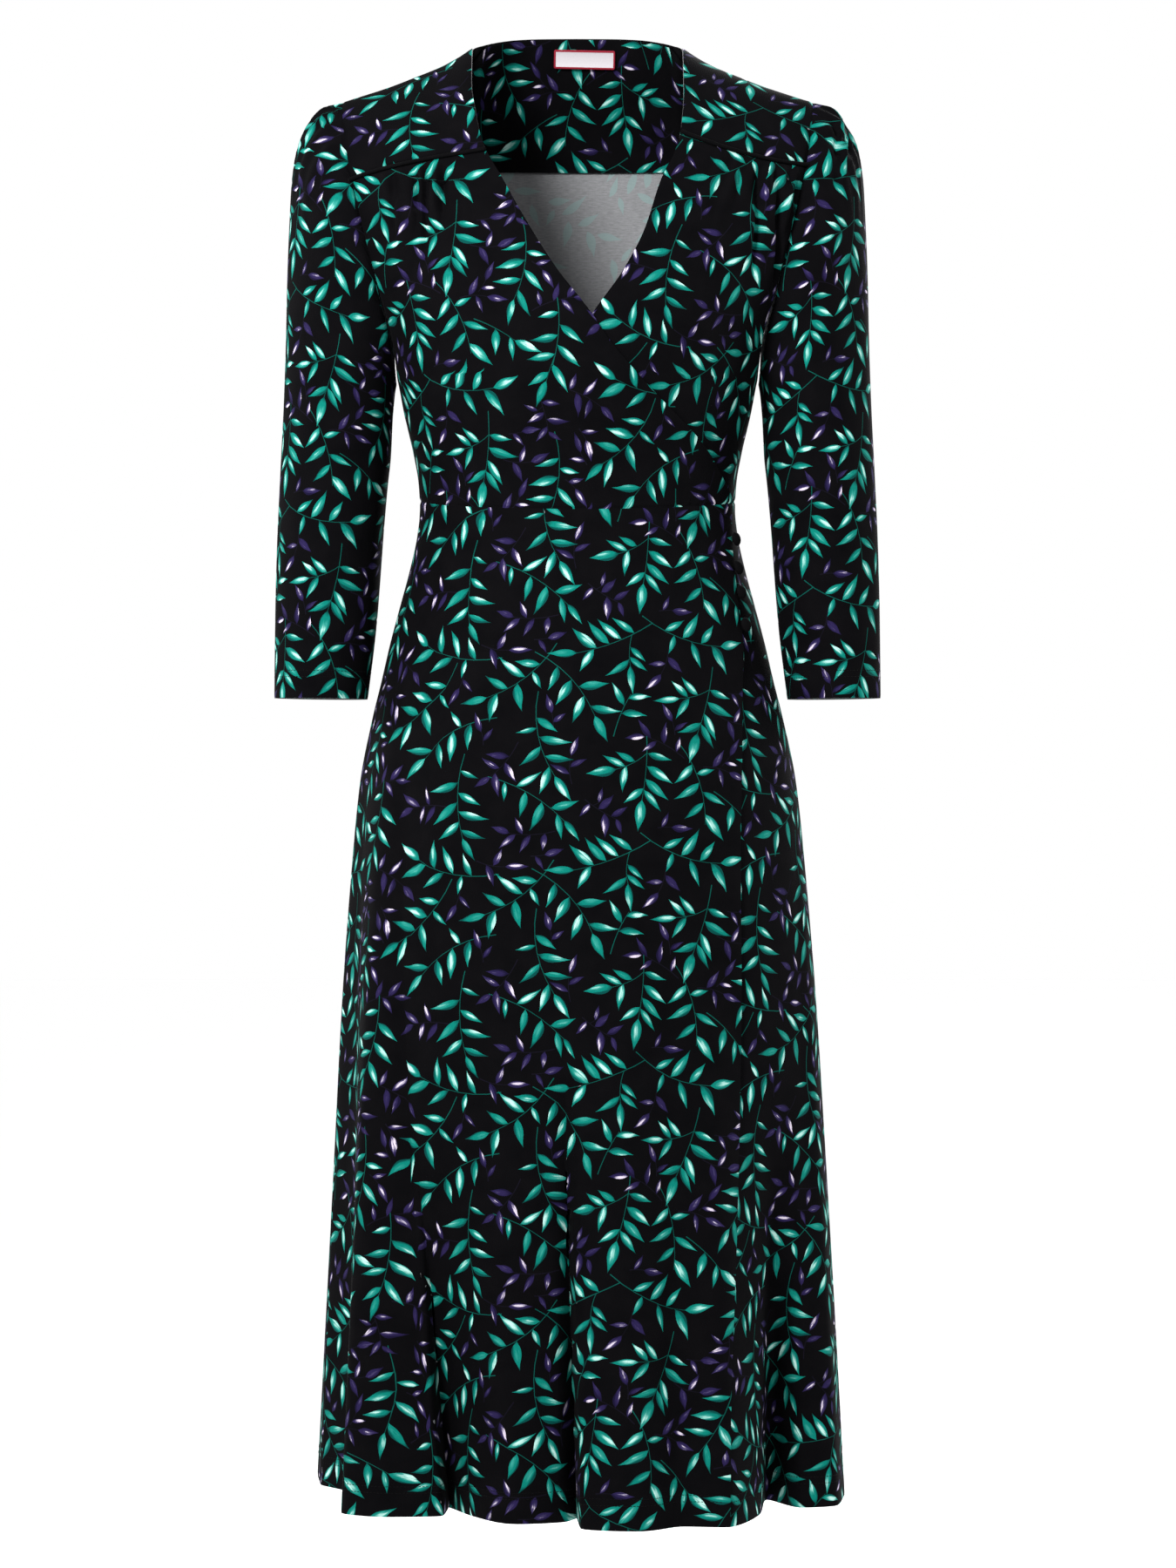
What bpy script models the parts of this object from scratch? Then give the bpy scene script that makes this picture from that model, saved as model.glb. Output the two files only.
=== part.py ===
"""Wrap dress, worn and hollow: cut panels of jersey that stand as they do on a general figure.

Metres, +Z up. The dress faces -Y, and the wearer's right is at -X. The origin lies midway between the
two points where the shoulder seams meet the neck, which is where a wearer holds the dress up.

Places on the dress are given by an angle and a height. The angle runs round the body: 0 at the wearer's
right side seam, a quarter turn at the middle of the front, a half turn at the left side seam, and on
round the back. The wearer's right front lies over the left one.
"""
import math
from collections import namedtuple

import bmesh
import bpy
from mathutils import Vector

# Driving dimensions
WALL = 0.0010               # jersey with its turned edges
SEAM_GAP = 0.0004           # between pieces that are sewn together
OVERLAP_LIFT = 0.0030       # how far outside the left front the right front lies
SQUARENESS = 2.25           # of the body's sections, where 2 is an ellipse
NECK_HALF_WIDTH = 0.0835    # from the middle to the shoulder neck point
WAIST_SIDE = -0.358         # height of the waist seam at the side seams
WAIST_FRONT_DROP = 0.012    # how far lower it lies at the middle of the front
HEM = -1.140

# Body sections from shoulders to hem: half width, and depth in front of and behind the side seams
Section = namedtuple("Section", "z half_width front back")
SECTIONS = [
    Section(z=0.030, half_width=0.2150, front=0.0380, back=0.0720),
    Section(z=-0.020, half_width=0.2145, front=0.0560, back=0.0870),
    Section(z=-0.060, half_width=0.2115, front=0.0750, back=0.0960),
    Section(z=-0.100, half_width=0.2040, front=0.0920, back=0.1005),
    Section(z=-0.150, half_width=0.1880, front=0.1090, back=0.1035),
    Section(z=-0.200, half_width=0.1670, front=0.1210, back=0.1015),
    Section(z=-0.235, half_width=0.1505, front=0.1245, back=0.0975),
    Section(z=-0.262, half_width=0.1425, front=0.1225, back=0.0940),
    Section(z=-0.290, half_width=0.1370, front=0.1170, back=0.0905),
    Section(z=-0.320, half_width=0.1300, front=0.1078, back=0.0870),
    Section(z=-0.345, half_width=0.1257, front=0.1018, back=0.0850),
    Section(z=-0.365, half_width=0.1247, front=0.0995, back=0.0848),
    Section(z=-0.385, half_width=0.1267, front=0.1000, back=0.0875),
    Section(z=-0.410, half_width=0.1320, front=0.1030, back=0.0945),
    Section(z=-0.440, half_width=0.1400, front=0.1080, back=0.1050),
    Section(z=-0.470, half_width=0.1480, front=0.1125, back=0.1165),
    Section(z=-0.500, half_width=0.1550, front=0.1170, back=0.1270),
    Section(z=-0.530, half_width=0.1625, front=0.1205, back=0.1350),
    Section(z=-0.580, half_width=0.1725, front=0.1255, back=0.1415),
    Section(z=-0.650, half_width=0.1795, front=0.1310, back=0.1435),
    Section(z=-0.750, half_width=0.1870, front=0.1375, back=0.1455),
    Section(z=-0.870, half_width=0.1934, front=0.1450, back=0.1490),
    Section(z=-1.000, half_width=0.1998, front=0.1530, back=0.1530),
    Section(z=-1.140, half_width=0.2060, front=0.1620, back=0.1580),
]

# Highest line of the dress: the rim of the back neck, then the shoulder seam from the neck outwards
Rim = namedtuple("Rim", "x y z")
RIM = [
    Rim(x=0.0000, y=0.0620, z=0.0185),
    Rim(x=0.0300, y=0.0600, z=0.0180),
    Rim(x=0.0500, y=0.0525, z=0.0160),
    Rim(x=0.0660, y=0.0400, z=0.0120),
    Rim(x=0.0770, y=0.0245, z=0.0070),
    Rim(x=0.0835, y=0.0080, z=0.0020),
    Rim(x=0.0950, y=0.0060, z=-0.0060),
    Rim(x=0.1080, y=0.0055, z=-0.0131),
    Rim(x=0.1280, y=0.0050, z=-0.0214),
    Rim(x=0.1500, y=0.0040, z=-0.0300),
    Rim(x=0.1760, y=0.0020, z=-0.0385),
    Rim(x=0.1900, y=0.0000, z=-0.0430),
    Rim(x=0.2150, y=0.0000, z=-0.0520),
]
NECK_RISE = 0.75            # slope of the shoulder line at the neck point
SHOULDER_ROLL = 0.085       # height over which the front rounds over from the shoulder seam
BACK_ROLL = 0.105           # and the back
NECK_ROLL_FROM = 0.052      # within this half width the back stands up straight at the neck
NECK_ROLL_TO = 0.128        # beyond this one it rounds over at the shoulder

# Armhole: from the underarm point up to the shoulder point, which lies this far round from the side
UNDERARM = -0.262
ARMHOLE_ANGLE = math.radians(29.0)

# Edges of the two fronts. x counts from the middle towards the other side, so it is below 0 on the own side
Edge = namedtuple("Edge", "z x")
RIGHT_FRONT_EDGE = [
    Edge(z=0.0020, x=-0.0835),
    Edge(z=-0.0350, x=-0.0828),
    Edge(z=-0.0560, x=-0.0795),
    Edge(z=-0.0790, x=-0.0750),
    Edge(z=-0.0930, x=-0.0695),
    Edge(z=-0.1140, x=-0.0578),
    Edge(z=-0.1430, x=-0.0422),
    Edge(z=-0.1870, x=-0.0154),
    Edge(z=-0.2222, x=0.0113),
    Edge(z=-0.2420, x=0.0247),
    Edge(z=-0.2770, x=0.0555),
    Edge(z=-0.3220, x=0.0990),
    Edge(z=-0.3600, x=0.1205),
]
LEFT_FRONT_EDGE = [
    Edge(z=0.0020, x=-0.0835),
    Edge(z=-0.0440, x=-0.0830),
    Edge(z=-0.0760, x=-0.0800),
    Edge(z=-0.0930, x=-0.0752),
    Edge(z=-0.1140, x=-0.0650),
    Edge(z=-0.1560, x=-0.0514),
    Edge(z=-0.1885, x=-0.0347),
    Edge(z=-0.2222, x=-0.0113),
    Edge(z=-0.2900, x=0.0250),
    Edge(z=-0.3600, x=0.0600),
]

# Front yoke seams, from the armhole to the neck edge
YokeSeam = namedtuple("YokeSeam", "at_armhole at_neck neck_x bow")
RIGHT_YOKE_SEAM = YokeSeam(at_armhole=-0.1095, at_neck=-0.0905, neck_x=0.0712, bow=1.0)
LEFT_YOKE_SEAM = YokeSeam(at_armhole=-0.0975, at_neck=-0.0755, neck_x=0.0801, bow=2.4)
PIPING_ROOM = 0.0032        # between a yoke and the front sewn below it
PIPING_RADIUS = 0.0012

# Gathers below the yokes: how many, where along the seam, how deep and how far down they reach
Gathers = namedtuple("Gathers", "count start end depth reach")
RIGHT_GATHERS = Gathers(count=4, start=0.26, end=0.78, depth=0.0030, reach=0.085)
LEFT_GATHERS = Gathers(count=6, start=0.06, end=0.78, depth=0.0034, reach=0.110)
GATHER_STRENGTHS = (1.0, 0.7, 0.9, 0.55, 0.85, 0.65)

# Sleeve sections from the armhole to the hem, for the wearer's left arm: the outermost and innermost
# points, half the depth from front to back, and how far the section's middle lies forward
SleeveSection = namedtuple("SleeveSection", "share outer_x outer_z inner_x inner_z depth forward")
SLEEVE_SECTIONS = [
    SleeveSection(0.00, 0.1867, -0.0420, 0.1425, -0.2620, 0.0520, -0.002),
    SleeveSection(0.03, 0.2020, -0.0495, 0.1430, -0.2650, 0.0535, -0.001),
    SleeveSection(0.07, 0.2140, -0.0645, 0.1438, -0.2690, 0.0540, 0.000),
    SleeveSection(0.12, 0.2222, -0.0860, 0.1446, -0.2750, 0.0540, 0.001),
    SleeveSection(0.17, 0.2262, -0.1120, 0.1454, -0.2830, 0.0530, 0.001),
    SleeveSection(0.24, 0.2283, -0.1450, 0.1462, -0.2930, 0.0515, 0.002),
    SleeveSection(0.32, 0.2297, -0.1850, 0.1468, -0.3060, 0.0500, 0.003),
    SleeveSection(0.41, 0.2306, -0.2300, 0.1476, -0.3230, 0.0485, 0.004),
    SleeveSection(0.51, 0.2322, -0.2800, 0.1500, -0.3460, 0.0470, 0.005),
    SleeveSection(0.62, 0.2348, -0.3350, 0.1528, -0.3790, 0.0458, 0.007),
    SleeveSection(0.73, 0.2372, -0.3900, 0.1554, -0.4160, 0.0443, 0.009),
    SleeveSection(0.84, 0.2385, -0.4420, 0.1586, -0.4570, 0.0427, 0.011),
    SleeveSection(1.00, 0.2392, -0.5140, 0.1655, -0.5150, 0.0398, 0.013),
]
SLEEVE_SETTLES_AT = 0.40    # share of the length where the armhole's own shape has faded out
SLEEVE_GATHERS = 4          # folds in front of each shoulder point
SLEEVE_GATHER_DEPTH = 0.0028
SLEEVE_GATHER_REACH = 0.24
SLEEVE_GATHER_STEP = math.radians(14.0)

# Hem of the skirt, seen from above: ridges and valleys of its folds. share counts along the cloth from
# one side seam to the other, and start is the height where the fold begins
Fold = namedtuple("Fold", "share x y start")
FRONT_FOLDS = [
    Fold(share=0.000, x=-0.2050, y=0.0200, start=-0.50),
    Fold(share=0.072, x=-0.1740, y=-0.0330, start=-0.45),
    Fold(share=0.168, x=-0.1810, y=-0.1180, start=-0.45),
    Fold(share=0.216, x=-0.1450, y=-0.1390, start=-0.55),
    Fold(share=0.266, x=-0.1045, y=-0.1340, start=-0.80),
    Fold(share=0.295, x=-0.1000, y=-0.0860, start=-0.86),
    Fold(share=0.365, x=-0.0760, y=-0.1350, start=-0.82),
    Fold(share=0.415, x=-0.0460, y=-0.1710, start=-0.75),
    Fold(share=0.461, x=-0.0120, y=-0.1620, start=-0.78),
    Fold(share=0.482, x=0.0010, y=-0.1380, start=-0.76),
    Fold(share=0.503, x=0.0065, y=-0.1960, start=-0.72),
    Fold(share=0.560, x=0.0450, y=-0.2060, start=-0.65),
    Fold(share=0.620, x=0.0800, y=-0.1830, start=-0.75),
    Fold(share=0.680, x=0.1120, y=-0.1870, start=-0.75),
    Fold(share=0.740, x=0.1400, y=-0.1250, start=-0.80),
    Fold(share=0.795, x=0.1480, y=-0.0560, start=-0.80),
    Fold(share=0.860, x=0.1730, y=-0.0940, start=-0.75),
    Fold(share=0.920, x=0.2000, y=-0.0850, start=-0.60),
    Fold(share=1.000, x=0.2105, y=-0.0280, start=-0.50),
]
BACK_FOLDS = [
    Fold(share=0.000, x=0.2105, y=-0.0280, start=-0.50),
    Fold(share=0.080, x=0.1840, y=0.0320, start=-0.60),
    Fold(share=0.165, x=0.1820, y=0.1050, start=-0.55),
    Fold(share=0.245, x=0.1310, y=0.1000, start=-0.75),
    Fold(share=0.335, x=0.1050, y=0.1680, start=-0.62),
    Fold(share=0.425, x=0.0520, y=0.1380, start=-0.80),
    Fold(share=0.515, x=0.0120, y=0.1860, start=-0.66),
    Fold(share=0.605, x=-0.0440, y=0.1420, start=-0.78),
    Fold(share=0.690, x=-0.0880, y=0.1780, start=-0.60),
    Fold(share=0.775, x=-0.1260, y=0.1130, start=-0.74),
    Fold(share=0.860, x=-0.1780, y=0.1270, start=-0.58),
    Fold(share=0.935, x=-0.2110, y=0.0860, start=-0.62),
    Fold(share=1.000, x=-0.2050, y=0.0200, start=-0.50),
]
FOLD_GROWTH = 1.2

# Where the right skirt front ends, as a share of the front's cloth, and where the left one ends below it
WrapEdge = namedtuple("WrapEdge", "z share")
WRAP_EDGE = [
    WrapEdge(z=-0.360, share=0.906),
    WrapEdge(z=-0.391, share=0.875),
    WrapEdge(z=-0.429, share=0.846),
    WrapEdge(z=-0.470, share=0.824),
    WrapEdge(z=-0.515, share=0.788),
    WrapEdge(z=-0.580, share=0.757),
    WrapEdge(z=-0.650, share=0.743),
    WrapEdge(z=-0.770, share=0.730),
    WrapEdge(z=-0.920, share=0.708),
    WrapEdge(z=-1.050, share=0.690),
    WrapEdge(z=-1.140, share=0.684),
]
HIDDEN_EDGE_SHARE = 0.34

# Buttons: domes covered in plain jersey, each on a short shank just past the wrap edge
BUTTON_HEIGHTS = (-0.391, -0.4140, -0.4335, -0.4590)
BUTTON_PAST_EDGE = 0.0046
BUTTON_CLEARANCE = 0.0008   # from the left front's outer face to the foot of the shank
ButtonRing = namedtuple("ButtonRing", "radius height")
BUTTON_PROFILE = [
    ButtonRing(radius=0.0000, height=0.0000),
    ButtonRing(radius=0.0015, height=0.0000),
    ButtonRing(radius=0.0015, height=0.0040),
    ButtonRing(radius=0.0050, height=0.0043),
    ButtonRing(radius=0.0057, height=0.0053),
    ButtonRing(radius=0.0051, height=0.0070),
    ButtonRing(radius=0.0034, height=0.0083),
    ButtonRing(radius=0.0000, height=0.0089),
]
BUTTON_SIDES = 12

# Facing inside the back neck, and the blank label on it
FACING_BELOW_NECK_RIM = 0.0012
FACING_BELOW_SHOULDER = 0.0070
LINING_GAP = 0.0013
LABEL_GAP = 0.0009          # wide enough for the label to clear the facing's flat faces
LABEL_WIDTH = 0.050
LABEL_HEIGHT = 0.014
LABEL_MIDDLE = (0.0056, 0.0034)
LABEL_THICKNESS = 0.0008

# How finely the panels are divided
YOKE_STEPS = 8
PLAIN_COLUMNS = 17
FRONT_ARMHOLE_STEPS = 10
BACK_FINE_STEPS = 4
BACK_FINE_ANGLE = math.radians(32.0)
BACK_COARSE_STEPS = 12
SHOULDER_COLUMNS = 7
NECK_COLUMNS = 12
FACING_FIRST_ROW = 4
FACING_LAST_ROW = 8
SIDE_SEAM_STEPS = 6
SKIRT_STEPS = 16
SKIRT_ROWS_CLOSE_UP = 1.35  # above 1, the rows lie closer near the waist
HIDDEN_ZONE_COLUMNS = 15
WRAP_ZONE_COLUMNS = 17
SIDE_ZONE_COLUMNS = 11
BACK_SKIRT_COLUMNS = 36

PROBE = 0.0002              # step for reading a surface's direction


class Curve:
    """A smooth curve through one column of a table, read by another column, with no overshoot."""

    def __init__(self, table, key, column):
        rows = sorted(table, key=lambda row: getattr(row, key))
        self.keys = [getattr(row, key) for row in rows]
        self.values = [getattr(row, column) for row in rows]
        self.slopes = self.find_slopes()

    def find_slopes(self):
        keys = self.keys
        values = self.values
        rises = [(values[i + 1] - values[i]) / (keys[i + 1] - keys[i]) for i in range(len(keys) - 1)]
        slopes = [rises[0]]
        for before, after in zip(rises, rises[1:]):
            turns = before * after <= 0.0
            slopes.append(0.0 if turns else 2.0 * before * after / (before + after))
        return slopes + [rises[-1]]

    def __call__(self, key):
        keys = self.keys
        if key <= keys[0]:
            return self.values[0]
        if key >= keys[-1]:
            return self.values[-1]
        i = max(n for n, known in enumerate(keys) if known <= key)
        width = keys[i + 1] - keys[i]
        t = (key - keys[i]) / width
        start = (1.0 + 2.0 * t) * (1.0 - t) ** 2 * self.values[i]
        end = t * t * (3.0 - 2.0 * t) * self.values[i + 1]
        bend = t * (1.0 - t) ** 2 * self.slopes[i] - t * t * (1.0 - t) * self.slopes[i + 1]
        return start + end + width * bend


half_width_at = Curve(SECTIONS, "z", "half_width")
front_depth_at = Curve(SECTIONS, "z", "front")
back_depth_at = Curve(SECTIONS, "z", "back")
rim_y_at = Curve(RIM, "x", "y")
rim_z_at = Curve(RIM, "x", "z")
wrap_share_at = Curve(WRAP_EDGE, "z", "share")
right_edge_at = Curve(RIGHT_FRONT_EDGE, "z", "x")
left_edge_at = Curve(LEFT_FRONT_EDGE, "z", "x")
fold_curves = [
    {column: Curve(folds, "share", column) for column in ("x", "y", "start")}
    for folds in (FRONT_FOLDS, BACK_FOLDS)
]
sleeve_curves = {
    column: Curve(SLEEVE_SECTIONS, "share", column) for column in SleeveSection._fields if column != "share"
}


def shoulder_point_height():
    """Height at which the armhole reaches the shoulder seam, found by stepping towards it."""
    z = RIM[-1].z
    for step in range(30):
        z = rim_z_at(half_width_at(z) * math.cos(ARMHOLE_ANGLE))
    return z


ARMHOLE_TOP = shoulder_point_height()


def blend(start, end, share):
    return start + (end - start) * share


def smooth_step(value):
    t = min(1.0, max(0.0, value))
    return t * t * (3.0 - 2.0 * t)


def rim_at(x, in_front):
    """Depth and height of the dress's highest line; in front it goes on rising past the neck point."""
    past_neck = NECK_HALF_WIDTH - abs(x)
    if in_front and past_neck > 0.0:
        return rim_y_at(NECK_HALF_WIDTH), rim_z_at(NECK_HALF_WIDTH) + past_neck * NECK_RISE
    return rim_y_at(abs(x)), rim_z_at(abs(x))


def body_point(angle, z):
    """Point of the body's form at an angle round it and a height."""
    toward_side = math.cos(angle)
    x = -half_width_at(z) * toward_side
    in_front = angle % (2.0 * math.pi) <= math.pi
    depth = front_depth_at(z) if in_front else back_depth_at(z)
    away = depth * max(0.0, 1.0 - abs(toward_side) ** SQUARENESS) ** (1.0 / SQUARENESS)
    y = -away if in_front else away
    rim_y, rim_z = rim_at(x, in_front)
    below_rim = min(1.0, max(0.0, (rim_z - z) / (SHOULDER_ROLL if in_front else BACK_ROLL)))
    if below_rim < 1.0:
        stand = 1.0 - smooth_step((abs(x) - NECK_ROLL_FROM) / (NECK_ROLL_TO - NECK_ROLL_FROM))
        roundness = 0.5 if in_front else blend(0.5, 1.0, stand)
        rolled = (1.0 - (1.0 - below_rim) ** 2) ** roundness
        y = blend(rim_y, y, rolled)
    return Vector((x, y, z))


def skirt_point(turns, z):
    """Point of the skirt: turns is 0 to 1 over the front and 1 to 2 over the back."""
    turns %= 2.0
    over_back = turns > 1.0
    share = turns - 1.0 if over_back else turns
    curves = fold_curves[over_back]
    start = curves["start"](share)
    base = body_point(math.pi * turns, z)
    if z >= start:
        return base
    growth = ((start - z) / (start - HEM)) ** FOLD_GROWTH
    at_hem = Vector((curves["x"](share), curves["y"](share), HEM))
    return base + (at_hem - body_point(math.pi * turns, HEM)) * growth


def outward(surface, along, z):
    """Unit normal of a surface, out of the dress, where `along` grows from the right side to the left."""
    reach = PROBE * 10.0
    across = surface(along + reach, z) - surface(along - reach, z)
    up = surface(along, z + PROBE) - surface(along, z - PROBE)
    return across.cross(up).normalized()


def armhole_height(turn):
    """Height on the armhole, where turn is 0 at the underarm and a half turn at the shoulder point."""
    return blend(UNDERARM, ARMHOLE_TOP, (1.0 - math.cos(turn)) / 2.0)


def armhole_turn(z):
    return math.acos(1.0 - 2.0 * (z - UNDERARM) / (ARMHOLE_TOP - UNDERARM))


def armhole_angle(z):
    """How far from the side seam the armhole runs at a height."""
    share = min(1.0, max(0.0, (z - UNDERARM) / (ARMHOLE_TOP - UNDERARM)))
    return ARMHOLE_ANGLE * (1.0 - (1.0 - share) ** 3) ** 0.62


def angle_of(x, z, in_front=True):
    """Angle round the body of the point with this x at this height."""
    share = min(1.0, max(-1.0, -x / half_width_at(z)))
    angle = math.acos(share)
    return angle if in_front else 2.0 * math.pi - angle


def waist_height(angle):
    drop = WAIST_FRONT_DROP * max(0.0, math.sin(angle))
    return WAIST_SIDE - drop


def spread(start, end, steps):
    return [blend(start, end, i / steps) for i in range(steps + 1)]


def patch(top, bottom, left, right):
    """Rows of places between four edges, each edge a list of (angle, height)."""
    def shares(edge, part):
        span = edge[-1][part] - edge[0][part]
        return [(place[part] - edge[0][part]) / span for place in edge]

    across = shares(bottom, 0)
    down = shares(left, 1)
    rows = []
    for j, v in enumerate(down):
        row = []
        for i, u in enumerate(across):
            place = []
            for part in (0, 1):
                ruled = blend(top[i][part], bottom[i][part], v) + blend(left[j][part], right[j][part], u)
                upper = blend(top[0][part], top[-1][part], u)
                lower = blend(bottom[0][part], bottom[-1][part], u)
                place.append(ruled - blend(upper, lower, v))
            row.append(tuple(place))
        rows.append(row)
    return rows


def sheet_points(places, surface, lift):
    """Outer points and normals of a panel; lift gives how far out it lies at a row and column."""
    grid = []
    for j, row in enumerate(places):
        points = []
        for i, (along, z) in enumerate(row):
            normal = outward(surface, along, z)
            points.append((surface(along, z) + normal * lift(j, i), normal))
        grid.append(points)
    return grid


def share_shoulder_normals(grid):
    """Turns the top row's normals to the mean of front and back along the shoulder seams."""
    top = grid[0]
    for column, (point, normal) in enumerate(top):
        if abs(point.x) < NECK_HALF_WIDTH - PROBE:
            continue
        in_front = outward(body_point, angle_of(point.x, point.z), point.z)
        behind = outward(body_point, angle_of(point.x, point.z, in_front=False), point.z)
        top[column] = (point, (in_front + behind).normalized())


def mirrored(grid):
    flip = Vector((-1.0, 1.0, 1.0))
    return [[(point * flip, normal * flip) for point, normal in row] for row in grid]


def make_material(name, colour, roughness, sheen=0.0):
    material = bpy.data.materials.new(name)
    material.use_nodes = True
    shader = material.node_tree.nodes["Principled BSDF"]
    shader.inputs["Base Color"].default_value = (*colour, 1.0)
    shader.inputs["Roughness"].default_value = roughness
    shader.inputs["Sheen Weight"].default_value = sheen
    return material


def add_object(name, data, material):
    piece = bpy.data.objects.new(name, data)
    bpy.context.scene.collection.objects.link(piece)
    data.materials.append(material)
    return piece


def add_wall(name, grid, material, moved=(0.0, 0.0, 0.0), round_about=False, thickness=WALL):
    """Closed wall of cloth inside a grid of outer points, moved clear of its neighbours.

    Every wall splits its grid along the same diagonals, so layers made from the same points stay parallel.
    """
    shift = Vector(moved)
    mesh = bmesh.new()
    outer = [[mesh.verts.new(point + shift) for point, normal in row] for row in grid]
    inner = [[mesh.verts.new(point + shift - normal * thickness) for point, normal in row] for row in grid]
    columns = len(grid[0])
    last_row = len(grid) - 1
    pairs = [(i, (i + 1) % columns) for i in range(columns if round_about else columns - 1)]
    for j in range(last_row):
        for a, b in pairs:
            for face in (outer, inner):
                mesh.faces.new((face[j][a], face[j + 1][a], face[j + 1][b]))
                mesh.faces.new((face[j][a], face[j + 1][b], face[j][b]))
    for a, b in pairs:
        mesh.faces.new((outer[0][a], outer[0][b], inner[0][b], inner[0][a]))
        mesh.faces.new((outer[last_row][b], outer[last_row][a], inner[last_row][a], inner[last_row][b]))
    if not round_about:
        for j in range(last_row):
            mesh.faces.new((outer[j + 1][0], outer[j][0], inner[j][0], inner[j + 1][0]))
            mesh.faces.new((outer[j][-1], outer[j + 1][-1], inner[j + 1][-1], inner[j][-1]))
    bmesh.ops.recalc_face_normals(mesh, faces=mesh.faces)
    data = bpy.data.meshes.new(name)
    mesh.to_mesh(data)
    mesh.free()
    data.shade_smooth()
    data.set_sharp_from_angle(angle=math.radians(50.0))
    return add_object(name, data, material)


def shoulder_columns():
    """Distances from the middle along a shoulder seam, which front and back share."""
    shoulder_point = half_width_at(ARMHOLE_TOP) * math.cos(ARMHOLE_ANGLE)
    return spread(shoulder_point, NECK_HALF_WIDTH, SHOULDER_COLUMNS)


def yoke_seam_height(seam, angle):
    """Height of a front yoke seam between the armhole and the neck edge."""
    end = angle_of(-seam.neck_x, seam.at_neck)
    start = armhole_angle(seam.at_armhole)
    share = min(1.0, max(0.0, (angle - start) / (end - start)))
    return blend(seam.at_armhole, seam.at_neck, share ** seam.bow)


def yoke_places(seam, edge_at):
    """Yoke from the shoulder seam to just above the yoke seam."""
    low = seam.at_armhole + PIPING_ROOM / 2.0
    turns = spread(math.pi, armhole_turn(low), YOKE_STEPS)
    left = [(armhole_angle(armhole_height(turn)), armhole_height(turn)) for turn in turns]
    shares = [(z - ARMHOLE_TOP) / (low - ARMHOLE_TOP) for angle, z in left]
    neck_low = seam.at_neck + PIPING_ROOM / 2.0
    neck_top = rim_z_at(NECK_HALF_WIDTH)
    neck_heights = [blend(neck_top, neck_low, share) for share in shares]
    right = [(angle_of(edge_at(z), z), z) for z in neck_heights]
    top = [(angle_of(-x, rim_z_at(x)), rim_z_at(x)) for x in shoulder_columns()]
    bottom = [(angle, yoke_seam_height(seam, angle) + PIPING_ROOM / 2.0)
              for angle in spread(left[-1][0], right[-1][0], SHOULDER_COLUMNS)]
    top[0] = left[0]
    top[-1] = right[0]
    bottom[0] = left[-1]
    bottom[-1] = right[-1]
    return patch(top, bottom, left, right)


def gather_shares(gathers, fine_columns, coarse_columns):
    """Shares across a front: fine steps where it is gathered, wider ones to the neck edge."""
    before = spread(0.0, gathers.start, max(1, round(gathers.start * PLAIN_COLUMNS)))[:-1]
    fine = spread(gathers.start, gathers.end, fine_columns)
    after = spread(gathers.end, 1.0, coarse_columns)[1:]
    return before + fine + after


def front_columns(gathers):
    return gather_shares(gathers, gathers.count * 2, round((1.0 - gathers.end) * PLAIN_COLUMNS))


def front_places(seam, edge_at, gathers):
    """Front bodice from just below the yoke seam to the waist, and its columns' shares."""
    high = seam.at_armhole - PIPING_ROOM / 2.0
    turns = spread(armhole_turn(high), 0.0, FRONT_ARMHOLE_STEPS)
    heights = [armhole_height(turn) for turn in turns]
    heights += spread(UNDERARM, WAIST_SIDE, SIDE_SEAM_STEPS)[1:]
    left = [(armhole_angle(z), z) for z in heights]
    shares = [(z - heights[0]) / (heights[-1] - heights[0]) for z in heights]
    neck_high = seam.at_neck - PIPING_ROOM / 2.0
    waist_end = angle_of(edge_at(WAIST_SIDE), WAIST_SIDE)
    neck_heights = [blend(neck_high, waist_height(waist_end), share) for share in shares]
    right = [(angle_of(edge_at(z), z), z) for z in neck_heights]
    columns = front_columns(gathers)
    top = []
    for share in columns:
        angle = blend(left[0][0], right[0][0], share)
        top.append((angle, yoke_seam_height(seam, angle) - PIPING_ROOM / 2.0))
    top[0] = left[0]
    top[-1] = right[0]
    bottom = []
    for share in columns:
        angle = blend(left[-1][0], right[-1][0], share)
        bottom.append((angle, waist_height(angle)))
    bottom[0] = left[-1]
    bottom[-1] = right[-1]
    return patch(top, bottom, left, right), columns


def gather_lift(gathers, share, below_seam):
    """Rounded folds of the cloth gathered into the yoke seam, flat at the seam itself."""
    if not gathers.start < share < gathers.end:
        return 0.0
    place = (share - gathers.start) / (gathers.end - gathers.start) * gathers.count
    strength = GATHER_STRENGTHS[int(place) % len(GATHER_STRENGTHS)]
    wave = (1.0 - math.cos(2.0 * math.pi * place)) / 2.0
    rise = smooth_step(below_seam / 0.008)
    fade = smooth_step(1.0 - below_seam / (gathers.reach * strength))
    return gathers.depth * strength * wave * rise * fade


def overlap_lift(share, z):
    """How far outside the body's form the right front lies, so that the left front fits below it."""
    hidden = HIDDEN_EDGE_SHARE
    if z > WAIST_SIDE:
        hidden = angle_of(-left_edge_at(z), z) / math.pi
    return OVERLAP_LIFT * smooth_step((share - (hidden - 0.13)) / 0.10)


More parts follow.
